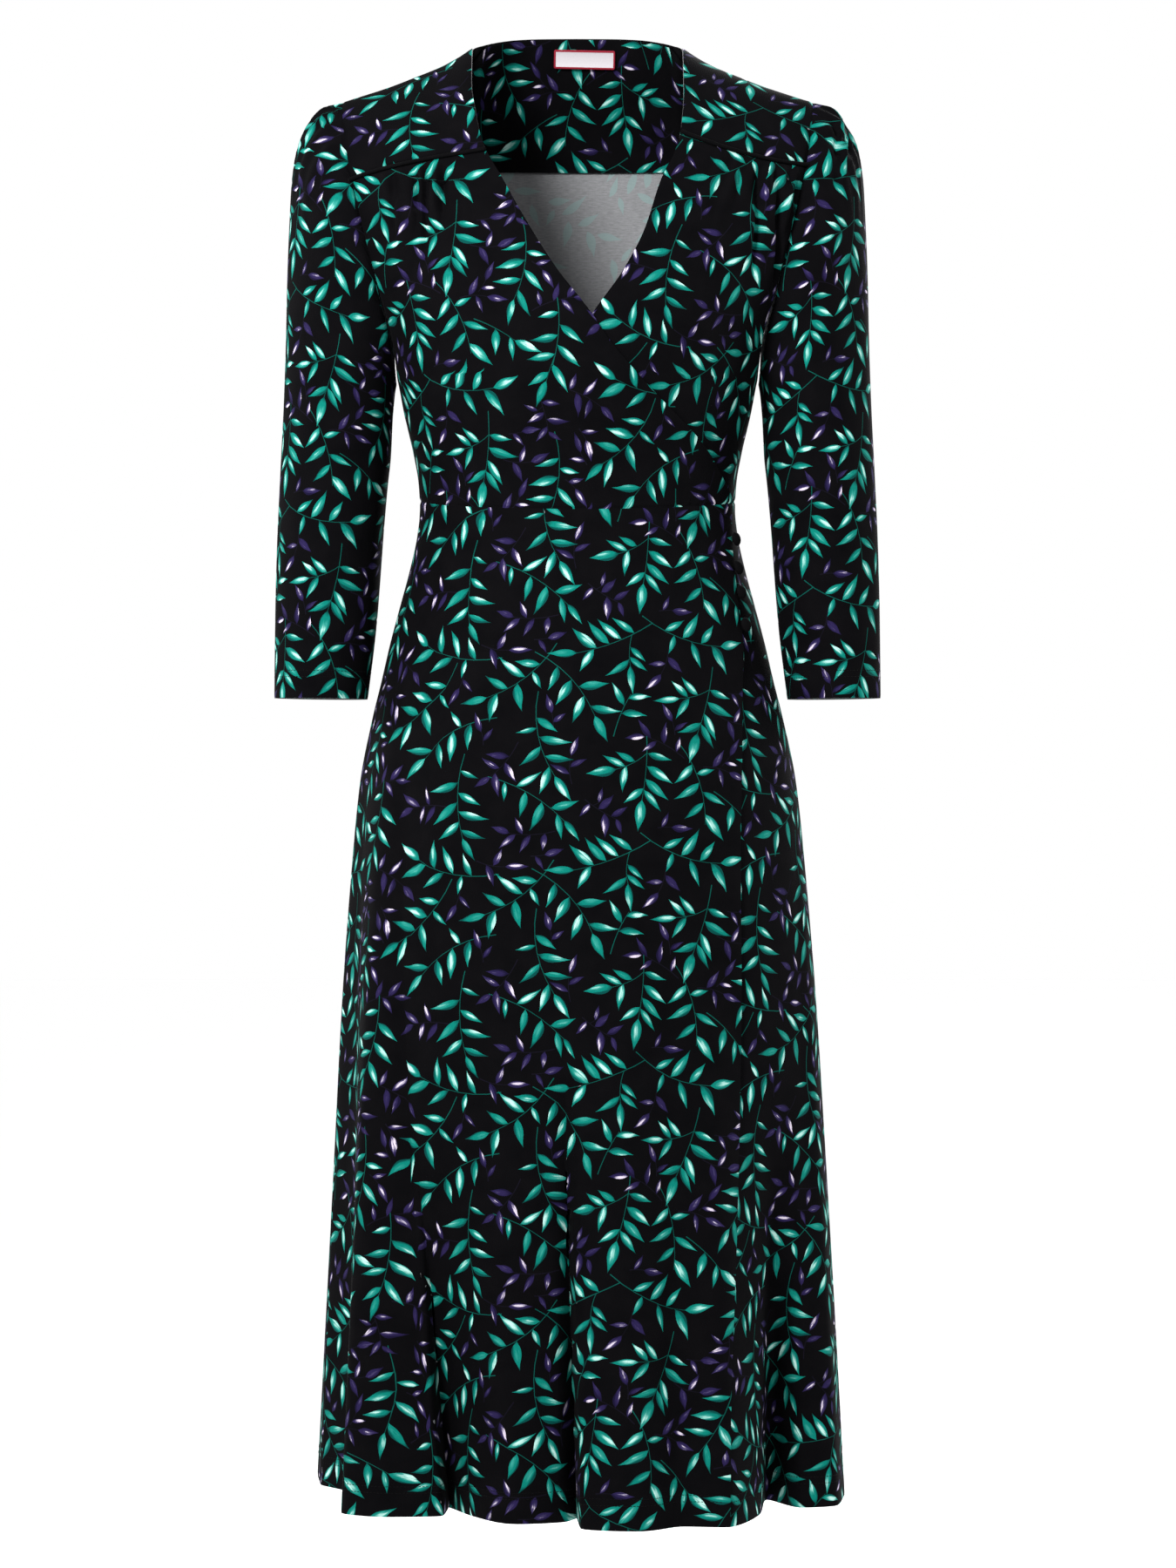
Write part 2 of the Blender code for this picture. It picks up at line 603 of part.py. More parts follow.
def add_front(name, seam, edge_at, gathers, is_left, material):
    places, columns = front_places(seam, edge_at, gathers)

    def lift(row, column):
        angle, z = places[row][column]
        top = places[0][column][1]
        folds = gather_lift(gathers, columns[column], top - z)
        if is_left:
            return folds
        return folds + overlap_lift(angle / math.pi, z)

    grid = sheet_points(places, body_point, lift)
    if is_left:
        grid = mirrored(grid)
    add_wall(name, grid, material, moved=(0.0, -SEAM_GAP / 2.0, SEAM_GAP / 2.0))


def add_yoke(name, seam, edge_at, is_left, material):
    places = yoke_places(seam, edge_at)
    grid = sheet_points(places, body_point, lambda row, column: 0.0)
    share_shoulder_normals(grid)
    if is_left:
        grid = mirrored(grid)
    add_wall(name, grid, material, moved=(0.0, -SEAM_GAP / 2.0, SEAM_GAP / 2.0))


def add_piping(name, seam, edge_at, gathers, is_left, material):
    """Cord covered in plain jersey, let into the yoke seam, with its corners above those of the front."""
    start = armhole_angle(seam.at_armhole) + 0.008
    end = angle_of(edge_at(seam.at_neck), seam.at_neck) - 0.004
    route = []
    for share in front_columns(gathers):
        angle = blend(start, end, share)
        z = yoke_seam_height(seam, angle)
        normal = outward(body_point, angle, z)
        point = body_point(angle, z) + Vector((0.0, -SEAM_GAP / 2.0, SEAM_GAP / 2.0)) + normal * 0.0002
        route.append(Vector((-point.x, point.y, point.z)) if is_left else point)
    curve = bpy.data.curves.new(name, "CURVE")
    curve.dimensions = "3D"
    curve.bevel_depth = PIPING_RADIUS
    curve.bevel_resolution = 1
    curve.use_fill_caps = True
    spline = curve.splines.new("POLY")
    spline.points.add(len(route) - 1)
    for point, place in zip(spline.points, route):
        point.co = (*place, 1.0)
    add_object(name, curve, material)


def back_edge_heights():
    fine = spread(math.pi, math.pi - BACK_FINE_ANGLE, BACK_FINE_STEPS)
    coarse = spread(math.pi - BACK_FINE_ANGLE, 0.0, BACK_COARSE_STEPS)[1:]
    return [armhole_height(turn) for turn in fine + coarse]


def back_places():
    """Back bodice in one piece, from the neck rim and shoulder seams to the waist."""
    heights = back_edge_heights() + spread(UNDERARM, WAIST_SIDE, SIDE_SEAM_STEPS)[1:]
    left = [(math.pi + armhole_angle(z), z) for z in heights]
    right = [(2.0 * math.pi - armhole_angle(z), z) for z in heights]
    across = shoulder_columns()
    across += [NECK_HALF_WIDTH * math.cos(turn) for turn in spread(0.0, math.pi, NECK_COLUMNS)][1:-1]
    across += [-x for x in reversed(shoulder_columns())]
    top = [(angle_of(x, rim_z_at(abs(x)), in_front=False), rim_z_at(abs(x))) for x in across]
    top[0] = left[0]
    top[-1] = right[0]
    shares = [(angle - top[0][0]) / (top[-1][0] - top[0][0]) for angle, z in top]
    bottom = [(blend(left[-1][0], right[-1][0], share), WAIST_SIDE) for share in shares]
    return patch(top, bottom, left, right)


def add_bodice_back(material):
    grid = sheet_points(back_places(), body_point, lambda row, column: 0.0)
    share_shoulder_normals(grid)
    add_wall("bodice_back", grid, material, moved=(0.0, SEAM_GAP / 2.0, SEAM_GAP / 2.0))


def add_back_facing(material):
    """Facing inside the back neck, its right side to the wearer, made from the places of the back."""
    places = back_places()
    inner_columns = range(1, len(places[0]) - 1)
    top = []
    for column in inner_columns:
        angle, rim = places[0][column]
        next_angle, next_z = places[FACING_FIRST_ROW][column]
        off_neck = smooth_step((abs(body_point(angle, rim).x) - 0.060) / 0.024)
        share = blend(FACING_BELOW_NECK_RIM, FACING_BELOW_SHOULDER, off_neck) / (rim - next_z)
        top.append((blend(angle, next_angle, share), blend(rim, next_z, share)))
    rows = [top]
    for row in places[FACING_FIRST_ROW:FACING_LAST_ROW + 1]:
        rows.append([row[column] for column in inner_columns])
    depth = WALL + LINING_GAP
    grid = sheet_points(rows, body_point, lambda row, column: -depth)
    add_wall("back_facing", grid, material, moved=(0.0, SEAM_GAP / 2.0, SEAM_GAP / 2.0))


def inside_back(x, z, depth):
    """Point at a depth inside the back bodice's outer face, and the normal there."""
    angle = angle_of(x, z, in_front=False)
    normal = outward(body_point, angle, z)
    return body_point(angle, z) - normal * depth, normal


def add_label(material):
    """Blank woven label, sewn to the facing."""
    depth = 2.0 * WALL + LINING_GAP + LABEL_GAP
    middle_x, middle_z = LABEL_MIDDLE
    grid = []
    for z in spread(middle_z + LABEL_HEIGHT / 2.0, middle_z - LABEL_HEIGHT / 2.0, 2):
        across = spread(middle_x + LABEL_WIDTH / 2.0, middle_x - LABEL_WIDTH / 2.0, 6)
        grid.append([inside_back(x, z, depth) for x in across])
    with_back = (0.0, SEAM_GAP / 2.0, SEAM_GAP / 2.0)
    add_wall("neck_label", grid, material, moved=with_back, thickness=LABEL_THICKNESS)


def sleeve_point(turn, share):
    """Point of the wearer's right sleeve: turn 0 at the underarm, in front of the arm up to a half turn."""
    def section(at):
        read = {column: curve(at) for column, curve in sleeve_curves.items()}
        outer = Vector((-read["outer_x"], 0.0, read["outer_z"]))
        inner = Vector((-read["inner_x"], 0.0, read["inner_z"]))
        middle = (outer + inner) / 2.0 - Vector((0.0, read["forward"], 0.0))
        toward_outer = (outer - inner) / 2.0
        return middle - toward_outer * math.cos(turn) - Vector((0.0, read["depth"] * math.sin(turn), 0.0))

    point = section(share)
    if share < SLEEVE_SETTLES_AT:
        in_front = turn <= math.pi
        z = armhole_height(turn)
        angle = armhole_angle(z) if in_front else -armhole_angle(z)
        seam = body_point(angle, z)
        point += (seam - section(0.0)) * (1.0 - smooth_step(share / SLEEVE_SETTLES_AT))
    return point


def sleeve_gather(turn, share):
    """Small folds where the sleeve head is gathered into the armhole near the shoulder point."""
    from_top = math.pi - turn
    last = SLEEVE_GATHERS * SLEEVE_GATHER_STEP
    if not -last * 0.55 < from_top < last or share >= SLEEVE_GATHER_REACH:
        return 0.0
    wave = (1.0 - math.cos(2.0 * math.pi * from_top / SLEEVE_GATHER_STEP)) / 2.0
    rise = smooth_step(share / 0.03)
    fade = smooth_step(1.0 - share / SLEEVE_GATHER_REACH)
    return SLEEVE_GATHER_DEPTH * wave * rise * fade


def sleeve_turns(seam):
    """Columns round a sleeve, at the same heights as the rows of the panels along the armhole."""
    above = armhole_turn(seam.at_armhole + PIPING_ROOM / 2.0)
    below = armhole_turn(seam.at_armhole - PIPING_ROOM / 2.0)
    front = spread(0.0, below, FRONT_ARMHOLE_STEPS) + spread(above, math.pi, YOKE_STEPS)
    back_fine = spread(math.pi, math.pi + BACK_FINE_ANGLE, BACK_FINE_STEPS)[1:]
    back_coarse = spread(math.pi + BACK_FINE_ANGLE, 2.0 * math.pi, BACK_COARSE_STEPS)[1:-1]
    return front + back_fine + back_coarse


def add_sleeve(name, seam, is_left, material):
    turns = sleeve_turns(seam)
    grid = []
    for section in SLEEVE_SECTIONS:
        share = section.share
        row = []
        for turn in turns:
            before = max(0.0, share - 0.01)
            beyond = min(1.0, share + 0.01)
            round_step = sleeve_point(turn + 0.01, share) - sleeve_point(turn - 0.01, share)
            down_step = sleeve_point(turn, beyond) - sleeve_point(turn, before)
            normal = round_step.cross(down_step).normalized()
            row.append((sleeve_point(turn, share) + normal * sleeve_gather(turn, share), normal))
        grid.append(row)
    if is_left:
        grid = mirrored(grid)
    aside = SEAM_GAP if is_left else -SEAM_GAP
    add_wall(name, grid, material, moved=(aside, 0.0, 0.0), round_about=True)


def skirt_rows(shares_at):
    """Rows of places from the waist seam to the hem; shares_at gives a row's columns at its height."""
    rows = []
    for step in spread(0.0, 1.0, SKIRT_STEPS):
        down = step ** SKIRT_ROWS_CLOSE_UP
        middle = blend(WAIST_SIDE, HEM, down)
        row = []
        for turns in shares_at(middle):
            top = waist_height(math.pi * turns)
            row.append((turns, blend(top, HEM, down)))
        rows.append(row)
    return rows


def add_skirt(name, shares_at, lifted, behind, material):
    rows = skirt_rows(shares_at)

    def lift(row, column):
        turns, z = rows[row][column]
        return overlap_lift(turns, min(z, WAIST_SIDE)) if lifted else 0.0

    grid = sheet_points(rows, skirt_point, lift)
    toward = SEAM_GAP / 2.0 if behind else -SEAM_GAP / 2.0
    add_wall(name, grid, material, moved=(0.0, toward, -SEAM_GAP / 2.0))


def shares_below_both(z):
    return spread(HIDDEN_EDGE_SHARE, wrap_share_at(z), WRAP_ZONE_COLUMNS)


def right_skirt_shares(z):
    return spread(0.0, HIDDEN_EDGE_SHARE, HIDDEN_ZONE_COLUMNS) + shares_below_both(z)[1:]


def left_skirt_shares(z):
    return shares_below_both(z) + spread(wrap_share_at(z), 1.0, SIDE_ZONE_COLUMNS)[1:]


def back_skirt_shares(z):
    return spread(1.0, 2.0, BACK_SKIRT_COLUMNS)


def button_data():
    """Turned dome with a shank, standing along +Z."""
    mesh = bmesh.new()
    rings = []
    for ring in BUTTON_PROFILE:
        if ring.radius == 0.0:
            rings.append([mesh.verts.new((0.0, 0.0, ring.height))])
            continue
        corners = [2.0 * math.pi * i / BUTTON_SIDES for i in range(BUTTON_SIDES)]
        places = [(ring.radius * math.cos(a), ring.radius * math.sin(a), ring.height) for a in corners]
        rings.append([mesh.verts.new(place) for place in places])
    for lower, upper in zip(rings, rings[1:]):
        for i in range(BUTTON_SIDES):
            k = (i + 1) % BUTTON_SIDES
            if len(lower) == 1:
                mesh.faces.new((lower[0], upper[k], upper[i]))
            elif len(upper) == 1:
                mesh.faces.new((lower[i], lower[k], upper[0]))
            else:
                mesh.faces.new((lower[i], lower[k], upper[k], upper[i]))
    bmesh.ops.recalc_face_normals(mesh, faces=mesh.faces)
    data = bpy.data.meshes.new("button")
    mesh.to_mesh(data)
    mesh.free()
    data.shade_smooth()
    data.set_sharp_from_angle(angle=math.radians(45.0))
    return data


def add_buttons(material):
    data = button_data()
    data.materials.append(material)
    for number, z in enumerate(BUTTON_HEIGHTS, start=1):
        share = wrap_share_at(z)
        step = 0.01
        per_share = (skirt_point(share + step, z) - skirt_point(share, z)).length / step
        share += BUTTON_PAST_EDGE / per_share
        normal = outward(skirt_point, share, z)
        with_skirt = Vector((0.0, -SEAM_GAP / 2.0, -SEAM_GAP / 2.0))
        button = bpy.data.objects.new(f"button_{number}", data)
        bpy.context.scene.collection.objects.link(button)
        button.location = skirt_point(share, z) + normal * BUTTON_CLEARANCE + with_skirt
        button.rotation_euler = normal.to_track_quat("Z", "Y").to_euler()


def clear_scene():
    for piece in list(bpy.data.objects):
        bpy.data.objects.remove(piece, do_unlink=True)


def main():
    clear_scene()
    printed = (0.012, 0.016, 0.018)
    plain_black = (0.008, 0.008, 0.009)

    def cloth(name):
        return make_material(name, printed, roughness=0.85, sheen=0.3)

    piping_black = make_material("piping_black", plain_black, roughness=0.8)
    fronts = (
        ("right", RIGHT_YOKE_SEAM, right_edge_at, RIGHT_GATHERS, False),
        ("left", LEFT_YOKE_SEAM, left_edge_at, LEFT_GATHERS, True),
    )
    for side, seam, edge_at, gathers, is_left in fronts:
        add_front(f"bodice_front_{side}", seam, edge_at, gathers, is_left, cloth(f"front_{side}"))
        add_yoke(f"yoke_{side}", seam, edge_at, is_left, cloth(f"yoke_{side}"))
        add_piping(f"piping_{side}", seam, edge_at, gathers, is_left, piping_black.copy())
        add_sleeve(f"sleeve_{side}", seam, is_left, cloth(f"sleeve_{side}"))
    add_bodice_back(cloth("bodice_back"))
    add_back_facing(cloth("back_facing"))
    add_label(make_material("label_white", (0.75, 0.76, 0.78), roughness=0.6))
    add_skirt("skirt_front_right", right_skirt_shares, True, False, cloth("skirt_front_right"))
    add_skirt("skirt_front_left", left_skirt_shares, False, False, cloth("skirt_front_left"))
    add_skirt("skirt_back", back_skirt_shares, False, True, cloth("skirt_back"))
    add_buttons(make_material("button_black", plain_black, roughness=0.75))


main()
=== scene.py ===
"""Looks of the wrap dress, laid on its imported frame: printed jersey, piping, covered buttons, blank label.

Metres, +Z up, the dress facing -Y and the wearer's right at -X, as in the frame. Each piece of cloth is
made in two steps. Its grid of places on the dress gives both its form and its flat cut. The print's
leaves are then laid on the flat cut, the cut is divided into triangles along their outlines, and every
corner is carried back to the dress. So the leaves are real faces of the cloth, with their own materials.
"""
import math
from collections import namedtuple

import bpy
import numpy as np
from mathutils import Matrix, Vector, kdtree
from mathutils.geometry import delaunay_2d_cdt


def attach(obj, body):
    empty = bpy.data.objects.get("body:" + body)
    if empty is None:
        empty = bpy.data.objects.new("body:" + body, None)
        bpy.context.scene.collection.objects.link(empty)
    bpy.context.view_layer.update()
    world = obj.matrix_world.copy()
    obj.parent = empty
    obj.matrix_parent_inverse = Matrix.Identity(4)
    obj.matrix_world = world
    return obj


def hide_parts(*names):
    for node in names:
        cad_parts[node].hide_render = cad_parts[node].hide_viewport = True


def table(columns, *rows):
    """A short table: its rows with named columns."""
    Row = namedtuple("Row", columns)
    return [Row(*row) for row in rows]


# --- Sizes of the dress, the same as its solids have ---
WALL = 0.0010
CLOTH = 0.0008              # thickness of the cloth made here, inside the solids' walls
OVERLAP_LIFT = 0.0030
OVERLAP_START, OVERLAP_EASE = 0.13, 0.10   # shares of the front over which the overlap lifts off the body
SQUARENESS = 2.25
NECK_HALF_WIDTH = 0.0835
WAIST_SIDE = -0.358
WAIST_FRONT_DROP = 0.012
HEM = -1.140

SECTIONS = table(
    "z half_width front back",
    (0.030, 0.2150, 0.0380, 0.0720),
    (-0.020, 0.2145, 0.0560, 0.0870),
    (-0.060, 0.2115, 0.0750, 0.0960),
    (-0.100, 0.2040, 0.0920, 0.1005),
    (-0.150, 0.1880, 0.1090, 0.1035),
    (-0.200, 0.1670, 0.1210, 0.1015),
    (-0.235, 0.1505, 0.1245, 0.0975),
    (-0.262, 0.1425, 0.1225, 0.0940),
    (-0.290, 0.1370, 0.1170, 0.0905),
    (-0.320, 0.1300, 0.1078, 0.0870),
    (-0.345, 0.1257, 0.1018, 0.0850),
    (-0.365, 0.1247, 0.0995, 0.0848),
    (-0.385, 0.1267, 0.1000, 0.0875),
    (-0.410, 0.1320, 0.1030, 0.0945),
    (-0.440, 0.1400, 0.1080, 0.1050),
    (-0.470, 0.1480, 0.1125, 0.1165),
    (-0.500, 0.1550, 0.1170, 0.1270),
    (-0.530, 0.1625, 0.1205, 0.1350),
    (-0.580, 0.1725, 0.1255, 0.1415),
    (-0.650, 0.1795, 0.1310, 0.1435),
    (-0.750, 0.1870, 0.1375, 0.1455),
    (-0.870, 0.1934, 0.1450, 0.1490),
    (-1.000, 0.1998, 0.1530, 0.1530),
    (-1.140, 0.2060, 0.1620, 0.1580),
)
RIM = table(
    "x y z",
    (0.0000, 0.0620, 0.0185),
    (0.0300, 0.0600, 0.0180),
    (0.0500, 0.0525, 0.0160),
    (0.0660, 0.0400, 0.0120),
    (0.0770, 0.0245, 0.0070),
    (0.0835, 0.0080, 0.0020),
    (0.0950, 0.0060, -0.0060),
    (0.1080, 0.0055, -0.0131),
    (0.1280, 0.0050, -0.0214),
    (0.1500, 0.0040, -0.0300),
    (0.1760, 0.0020, -0.0385),
    (0.1900, 0.0000, -0.0430),
    (0.2150, 0.0000, -0.0520),
)
NECK_RISE = 0.75
SHOULDER_ROLL = 0.085
BACK_ROLL = 0.105
NECK_ROLL_FROM = 0.052
NECK_ROLL_TO = 0.128

UNDERARM = -0.262
ARMHOLE_ANGLE = math.radians(29.0)
ARMHOLE_BOW = 0.62

RIGHT_FRONT_EDGE = table(
    "z x",
    (0.0020, -0.0835),
    (-0.0350, -0.0828),
    (-0.0560, -0.0795),
    (-0.0790, -0.0750),
    (-0.0930, -0.0695),
    (-0.1140, -0.0578),
    (-0.1430, -0.0422),
    (-0.1870, -0.0154),
    (-0.2222, 0.0113),
    (-0.2420, 0.0247),
    (-0.2770, 0.0555),
    (-0.3220, 0.0990),
    (-0.3600, 0.1205),
)
LEFT_FRONT_EDGE = table(
    "z x",
    (0.0020, -0.0835),
    (-0.0440, -0.0830),
    (-0.0760, -0.0800),
    (-0.0930, -0.0752),
    (-0.1140, -0.0650),
    (-0.1560, -0.0514),
    (-0.1885, -0.0347),
    (-0.2222, -0.0113),
    (-0.2900, 0.0250),
    (-0.3600, 0.0600),
)
RIGHT_YOKE_SEAM, LEFT_YOKE_SEAM = table(
    "at_armhole at_neck neck_x bow", (-0.1095, -0.0905, 0.0712, 1.0), (-0.0975, -0.0755, 0.0801, 2.4))
HALF_PIPING_ROOM = 0.0006   # from the middle of a yoke seam to the edges that meet below its cord
PIPING_RADIUS = 0.0012

RIGHT_GATHERS, LEFT_GATHERS = table(
    "count start end depth reach", (4, 0.26, 0.78, 0.0030, 0.085), (6, 0.06, 0.78, 0.0034, 0.110))
GATHER_STRENGTHS = np.array((1.0, 0.7, 0.9, 0.55, 0.85, 0.65))
GATHER_RISE = 0.008         # how far below the seam the gathers reach their depth

SLEEVE_SECTIONS = table(
    "share outer_x outer_z inner_x inner_z depth forward",
    (0.00, 0.1867, -0.0420, 0.1425, -0.2620, 0.0520, -0.002),
    (0.03, 0.2020, -0.0495, 0.1430, -0.2650, 0.0535, -0.001),
    (0.07, 0.2140, -0.0645, 0.1438, -0.2690, 0.0540, 0.000),
    (0.12, 0.2222, -0.0860, 0.1446, -0.2750, 0.0540, 0.001),
    (0.17, 0.2262, -0.1120, 0.1454, -0.2830, 0.0530, 0.001),
    (0.24, 0.2283, -0.1450, 0.1462, -0.2930, 0.0515, 0.002),
    (0.32, 0.2297, -0.1850, 0.1468, -0.3060, 0.0500, 0.003),
    (0.41, 0.2306, -0.2300, 0.1476, -0.3230, 0.0485, 0.004),
    (0.51, 0.2322, -0.2800, 0.1500, -0.3460, 0.0470, 0.005),
    (0.62, 0.2348, -0.3350, 0.1528, -0.3790, 0.0458, 0.007),
    (0.73, 0.2372, -0.3900, 0.1554, -0.4160, 0.0443, 0.009),
    (0.84, 0.2385, -0.4420, 0.1586, -0.4570, 0.0427, 0.011),
    (1.00, 0.2392, -0.5140, 0.1655, -0.5150, 0.0398, 0.013),
)
SLEEVE_LENGTH = 0.47
SLEEVE_SETTLES_AT = 0.40
SLEEVE_GATHERS = 4
SLEEVE_GATHER_DEPTH = 0.0028
SLEEVE_GATHER_REACH = 0.24
SLEEVE_GATHER_RISE = 0.03
SLEEVE_GATHER_STEP = math.radians(14.0)
GATHERED_IN_FRONT = SLEEVE_GATHERS * SLEEVE_GATHER_STEP
GATHERED_BEHIND = GATHERED_IN_FRONT * 0.55

FRONT_FOLDS = table(
    "share x y start",
    (0.000, -0.2050, 0.0200, -0.50),
    (0.072, -0.1740, -0.0330, -0.45),
    (0.168, -0.1810, -0.1180, -0.45),
    (0.216, -0.1450, -0.1390, -0.55),
    (0.266, -0.1045, -0.1340, -0.80),
    (0.295, -0.1000, -0.0860, -0.86),
    (0.365, -0.0760, -0.1350, -0.82),
    (0.415, -0.0460, -0.1710, -0.75),
    (0.461, -0.0120, -0.1620, -0.78),
    (0.482, 0.0010, -0.1380, -0.76),
    (0.503, 0.0065, -0.1960, -0.72),
    (0.560, 0.0450, -0.2060, -0.65),
    (0.620, 0.0800, -0.1830, -0.75),
    (0.680, 0.1120, -0.1870, -0.75),
    (0.740, 0.1400, -0.1250, -0.80),
    (0.795, 0.1480, -0.0560, -0.80),
    (0.860, 0.1730, -0.0940, -0.75),
    (0.920, 0.2000, -0.0850, -0.60),
    (1.000, 0.2105, -0.0280, -0.50),
)
BACK_FOLDS = table(
    "share x y start",
    (0.000, 0.2105, -0.0280, -0.50),
    (0.080, 0.1840, 0.0320, -0.60),
    (0.165, 0.1820, 0.1050, -0.55),
    (0.245, 0.1310, 0.1000, -0.75),
    (0.335, 0.1050, 0.1680, -0.62),
    (0.425, 0.0520, 0.1380, -0.80),
    (0.515, 0.0120, 0.1860, -0.66),
    (0.605, -0.0440, 0.1420, -0.78),
    (0.690, -0.0880, 0.1780, -0.60),
    (0.775, -0.1260, 0.1130, -0.74),
    (0.860, -0.1780, 0.1270, -0.58),
    (0.935, -0.2110, 0.0860, -0.62),
    (1.000, -0.2050, 0.0200, -0.50),
)
FOLD_GROWTH = 1.2
WRAP_EDGE = table(
    "z share",
    (-0.360, 0.906),
    (-0.391, 0.875),
    (-0.429, 0.846),
    (-0.470, 0.824),
    (-0.515, 0.788),
    (-0.580, 0.757),
    (-0.650, 0.743),
    (-0.770, 0.730),
    (-0.920, 0.708),
    (-1.050, 0.690),
    (-1.140, 0.684),
)
HIDDEN_EDGE_SHARE = 0.34

BUTTON_HEIGHTS = (-0.391, -0.4140, -0.4335, -0.4590)
BUTTON_PAST_EDGE = 0.0030
BUTTON_CLEARANCE = 0.0004

FACING_BELOW_NECK_RIM = 0.0004
FACING_BELOW_SHOULDER = 0.0070
FACING_BOTTOM = -0.0845
SHOULDER_STEPS = 7          # the facing starts one of these steps in from the armhole
LINING_GAP = 0.0013

# --- How the cloth is divided and sewn ---
GRID_STEP = 0.0065          # between lines of a panel's grid
SKIRT_ROW, SKIRT_COLUMN = 0.0075, 0.0072
FRONT_COLUMNS = 36          # that a front would have across its whole width without gathers
SLEEVE_SLIT = 0.0015        # radians that the sleeve's grid leaves open on each side of its seam
FACING_NECK_END, FACING_NECK_EASE = 0.074, 0.012   # where the facing's top starts to lie lower
SKIRT_LENGTH = 0.78         # rough sizes of the pieces, which set how dense their lines are
FRONT_WIDTH = 0.20
SHOULDER_WIDTH = 0.11
SLEEVE_GIRTH = 0.36
FACING_LENGTH = 0.12
GATHER_STEP = 0.0016        # between lines across gathers
GATHER_ROWS = np.arange(0.0, 0.020, 0.0022)       # below a gathered seam
EDGE_LINES = np.array((0.0006, 0.0014, 0.0026))   # lines this far in from each edge
EDGE_ROOM = 1.4             # times the last of those is kept free of other lines
TUCK = 0.0026               # seam allowance that a panel keeps below its neighbour
TUCK_LINES = np.array((0.0, 0.0012, 0.0022))      # lines this far in from the allowance's edge
TUCK_DEPTH = 0.0014         # how much deeper the allowance lies than the seam
LEAST_TUCK = 0.0003
TUCK_GROWTH = 0.02          # how far above the underarm the allowance reaches its width
CREASE_EASE = 0.006         # how far from a tucked seam creases reach their depth
COARSE_LINES = 32           # lines each way in the grid that is laid flat
FINE_LINES = 160            # and in the one that gives its first lengths
FLATTENING_ROUNDS = 900
FLATTENING_PACE = 0.3
PROBE = 0.0002
BODY_STEPS = (0.002, PROBE)
SLEEVE_STEPS = (0.01, 0.01)
MIRROR = np.array((-1.0, 1.0, 1.0))

SEAM_ROLL = 0.0009          # how deep the cloth rolls in at a seam
FREE_ROLL = 0.0002          # and at a free, turned edge
PIPED_ROLL = 0.0015         # and below the cord of a piped seam
ROLL_WIDTH = 0.0016
Roll = namedtuple("Roll", "top bottom left right", defaults=(SEAM_ROLL,) * 4)


# --- Numbers and curves ---
class Curve:
    """A smooth curve through one column of a table, read by another column, with no overshoot."""

    def __init__(self, rows, key, column):
        rows = sorted(rows, key=lambda row: getattr(row, key))
        self.keys = np.array([getattr(row, key) for row in rows])
        self.values = np.array([getattr(row, column) for row in rows])
        rises = np.diff(self.values) / np.diff(self.keys)
        before, after = rises[:-1], rises[1:]
        together = np.where(before * after > 0.0, before + after, 1.0)
        means = np.where(before * after > 0.0, 2.0 * before * after / together, 0.0)
        self.slopes = np.concatenate((rises[:1], means, rises[-1:]))

    def __call__(self, key):
        key = np.clip(key, self.keys[0], self.keys[-1])
        i = np.clip(np.searchsorted(self.keys, key, side="right") - 1, 0, len(self.keys) - 2)
        width = self.keys[i + 1] - self.keys[i]
        t = (key - self.keys[i]) / width
        start = (1.0 + 2.0 * t) * (1.0 - t) ** 2 * self.values[i]
        end = t * t * (3.0 - 2.0 * t) * self.values[i + 1]
        bend = t * (1.0 - t) ** 2 * self.slopes[i] - t * t * (1.0 - t) * self.slopes[i + 1]
        return start + end + width * bend


def curves(rows, key):
    """A curve for each other column of a table."""
    return {column: Curve(rows, key, column) for column in rows[0]._fields if column != key}


section_at = curves(SECTIONS, "z")
half_width_at = section_at["half_width"]
rim_at = curves(RIM, "x")
rim_z_at = rim_at["z"]
wrap_share_at = Curve(WRAP_EDGE, "z", "share")
right_edge_at = Curve(RIGHT_FRONT_EDGE, "z", "x")
left_edge_at = Curve(LEFT_FRONT_EDGE, "z", "x")
front_folds, back_folds = curves(FRONT_FOLDS, "share"), curves(BACK_FOLDS, "share")
sleeve_curves = curves(SLEEVE_SECTIONS, "share")


def blend(start, end, share):
    return start + (end - start) * share


def smooth_step(value):
    t = np.clip(value, 0.0, 1.0)
    return t * t * (3.0 - 2.0 * t)


def spread(start, end, steps):
    return np.linspace(start, end, steps + 1)


def column_stack(*columns):
    return np.stack(np.broadcast_arrays(*columns), axis=-1)


def unit(vectors):
    return vectors / np.linalg.norm(vectors, axis=-1, keepdims=True)


def rotate(points, turn):
    """Turns points counter-clockwise."""
    c, s = math.cos(turn), math.sin(turn)
    return np.asarray(points) @ np.array(((c, s), (-s, c)))


def lengths_along(route):
    """How far along a route each of its points lies."""
    lengths = np.cumsum(np.linalg.norm(np.diff(route, axis=0), axis=-1), axis=0)
    return np.concatenate((np.zeros_like(lengths[:1]), lengths))


def flat_cross(a, b):
    return a[..., 0] * b[..., 1] - a[..., 1] * b[..., 0]


def signed_area(outline):
    """Area inside an outline, above 0 where it runs counter-clockwise."""
    return float(np.sum(flat_cross(outline, np.roll(outline, -1, axis=0)))) / 2.0


# --- Surfaces of the dress ---
def shoulder_point_height():
    """Height at which the armhole reaches the shoulder seam, found by stepping towards it."""
    z = RIM[-1].z
    for step in range(30):
        z = float(rim_z_at(half_width_at(z) * math.cos(ARMHOLE_ANGLE)))
    return z


ARMHOLE_TOP = shoulder_point_height()


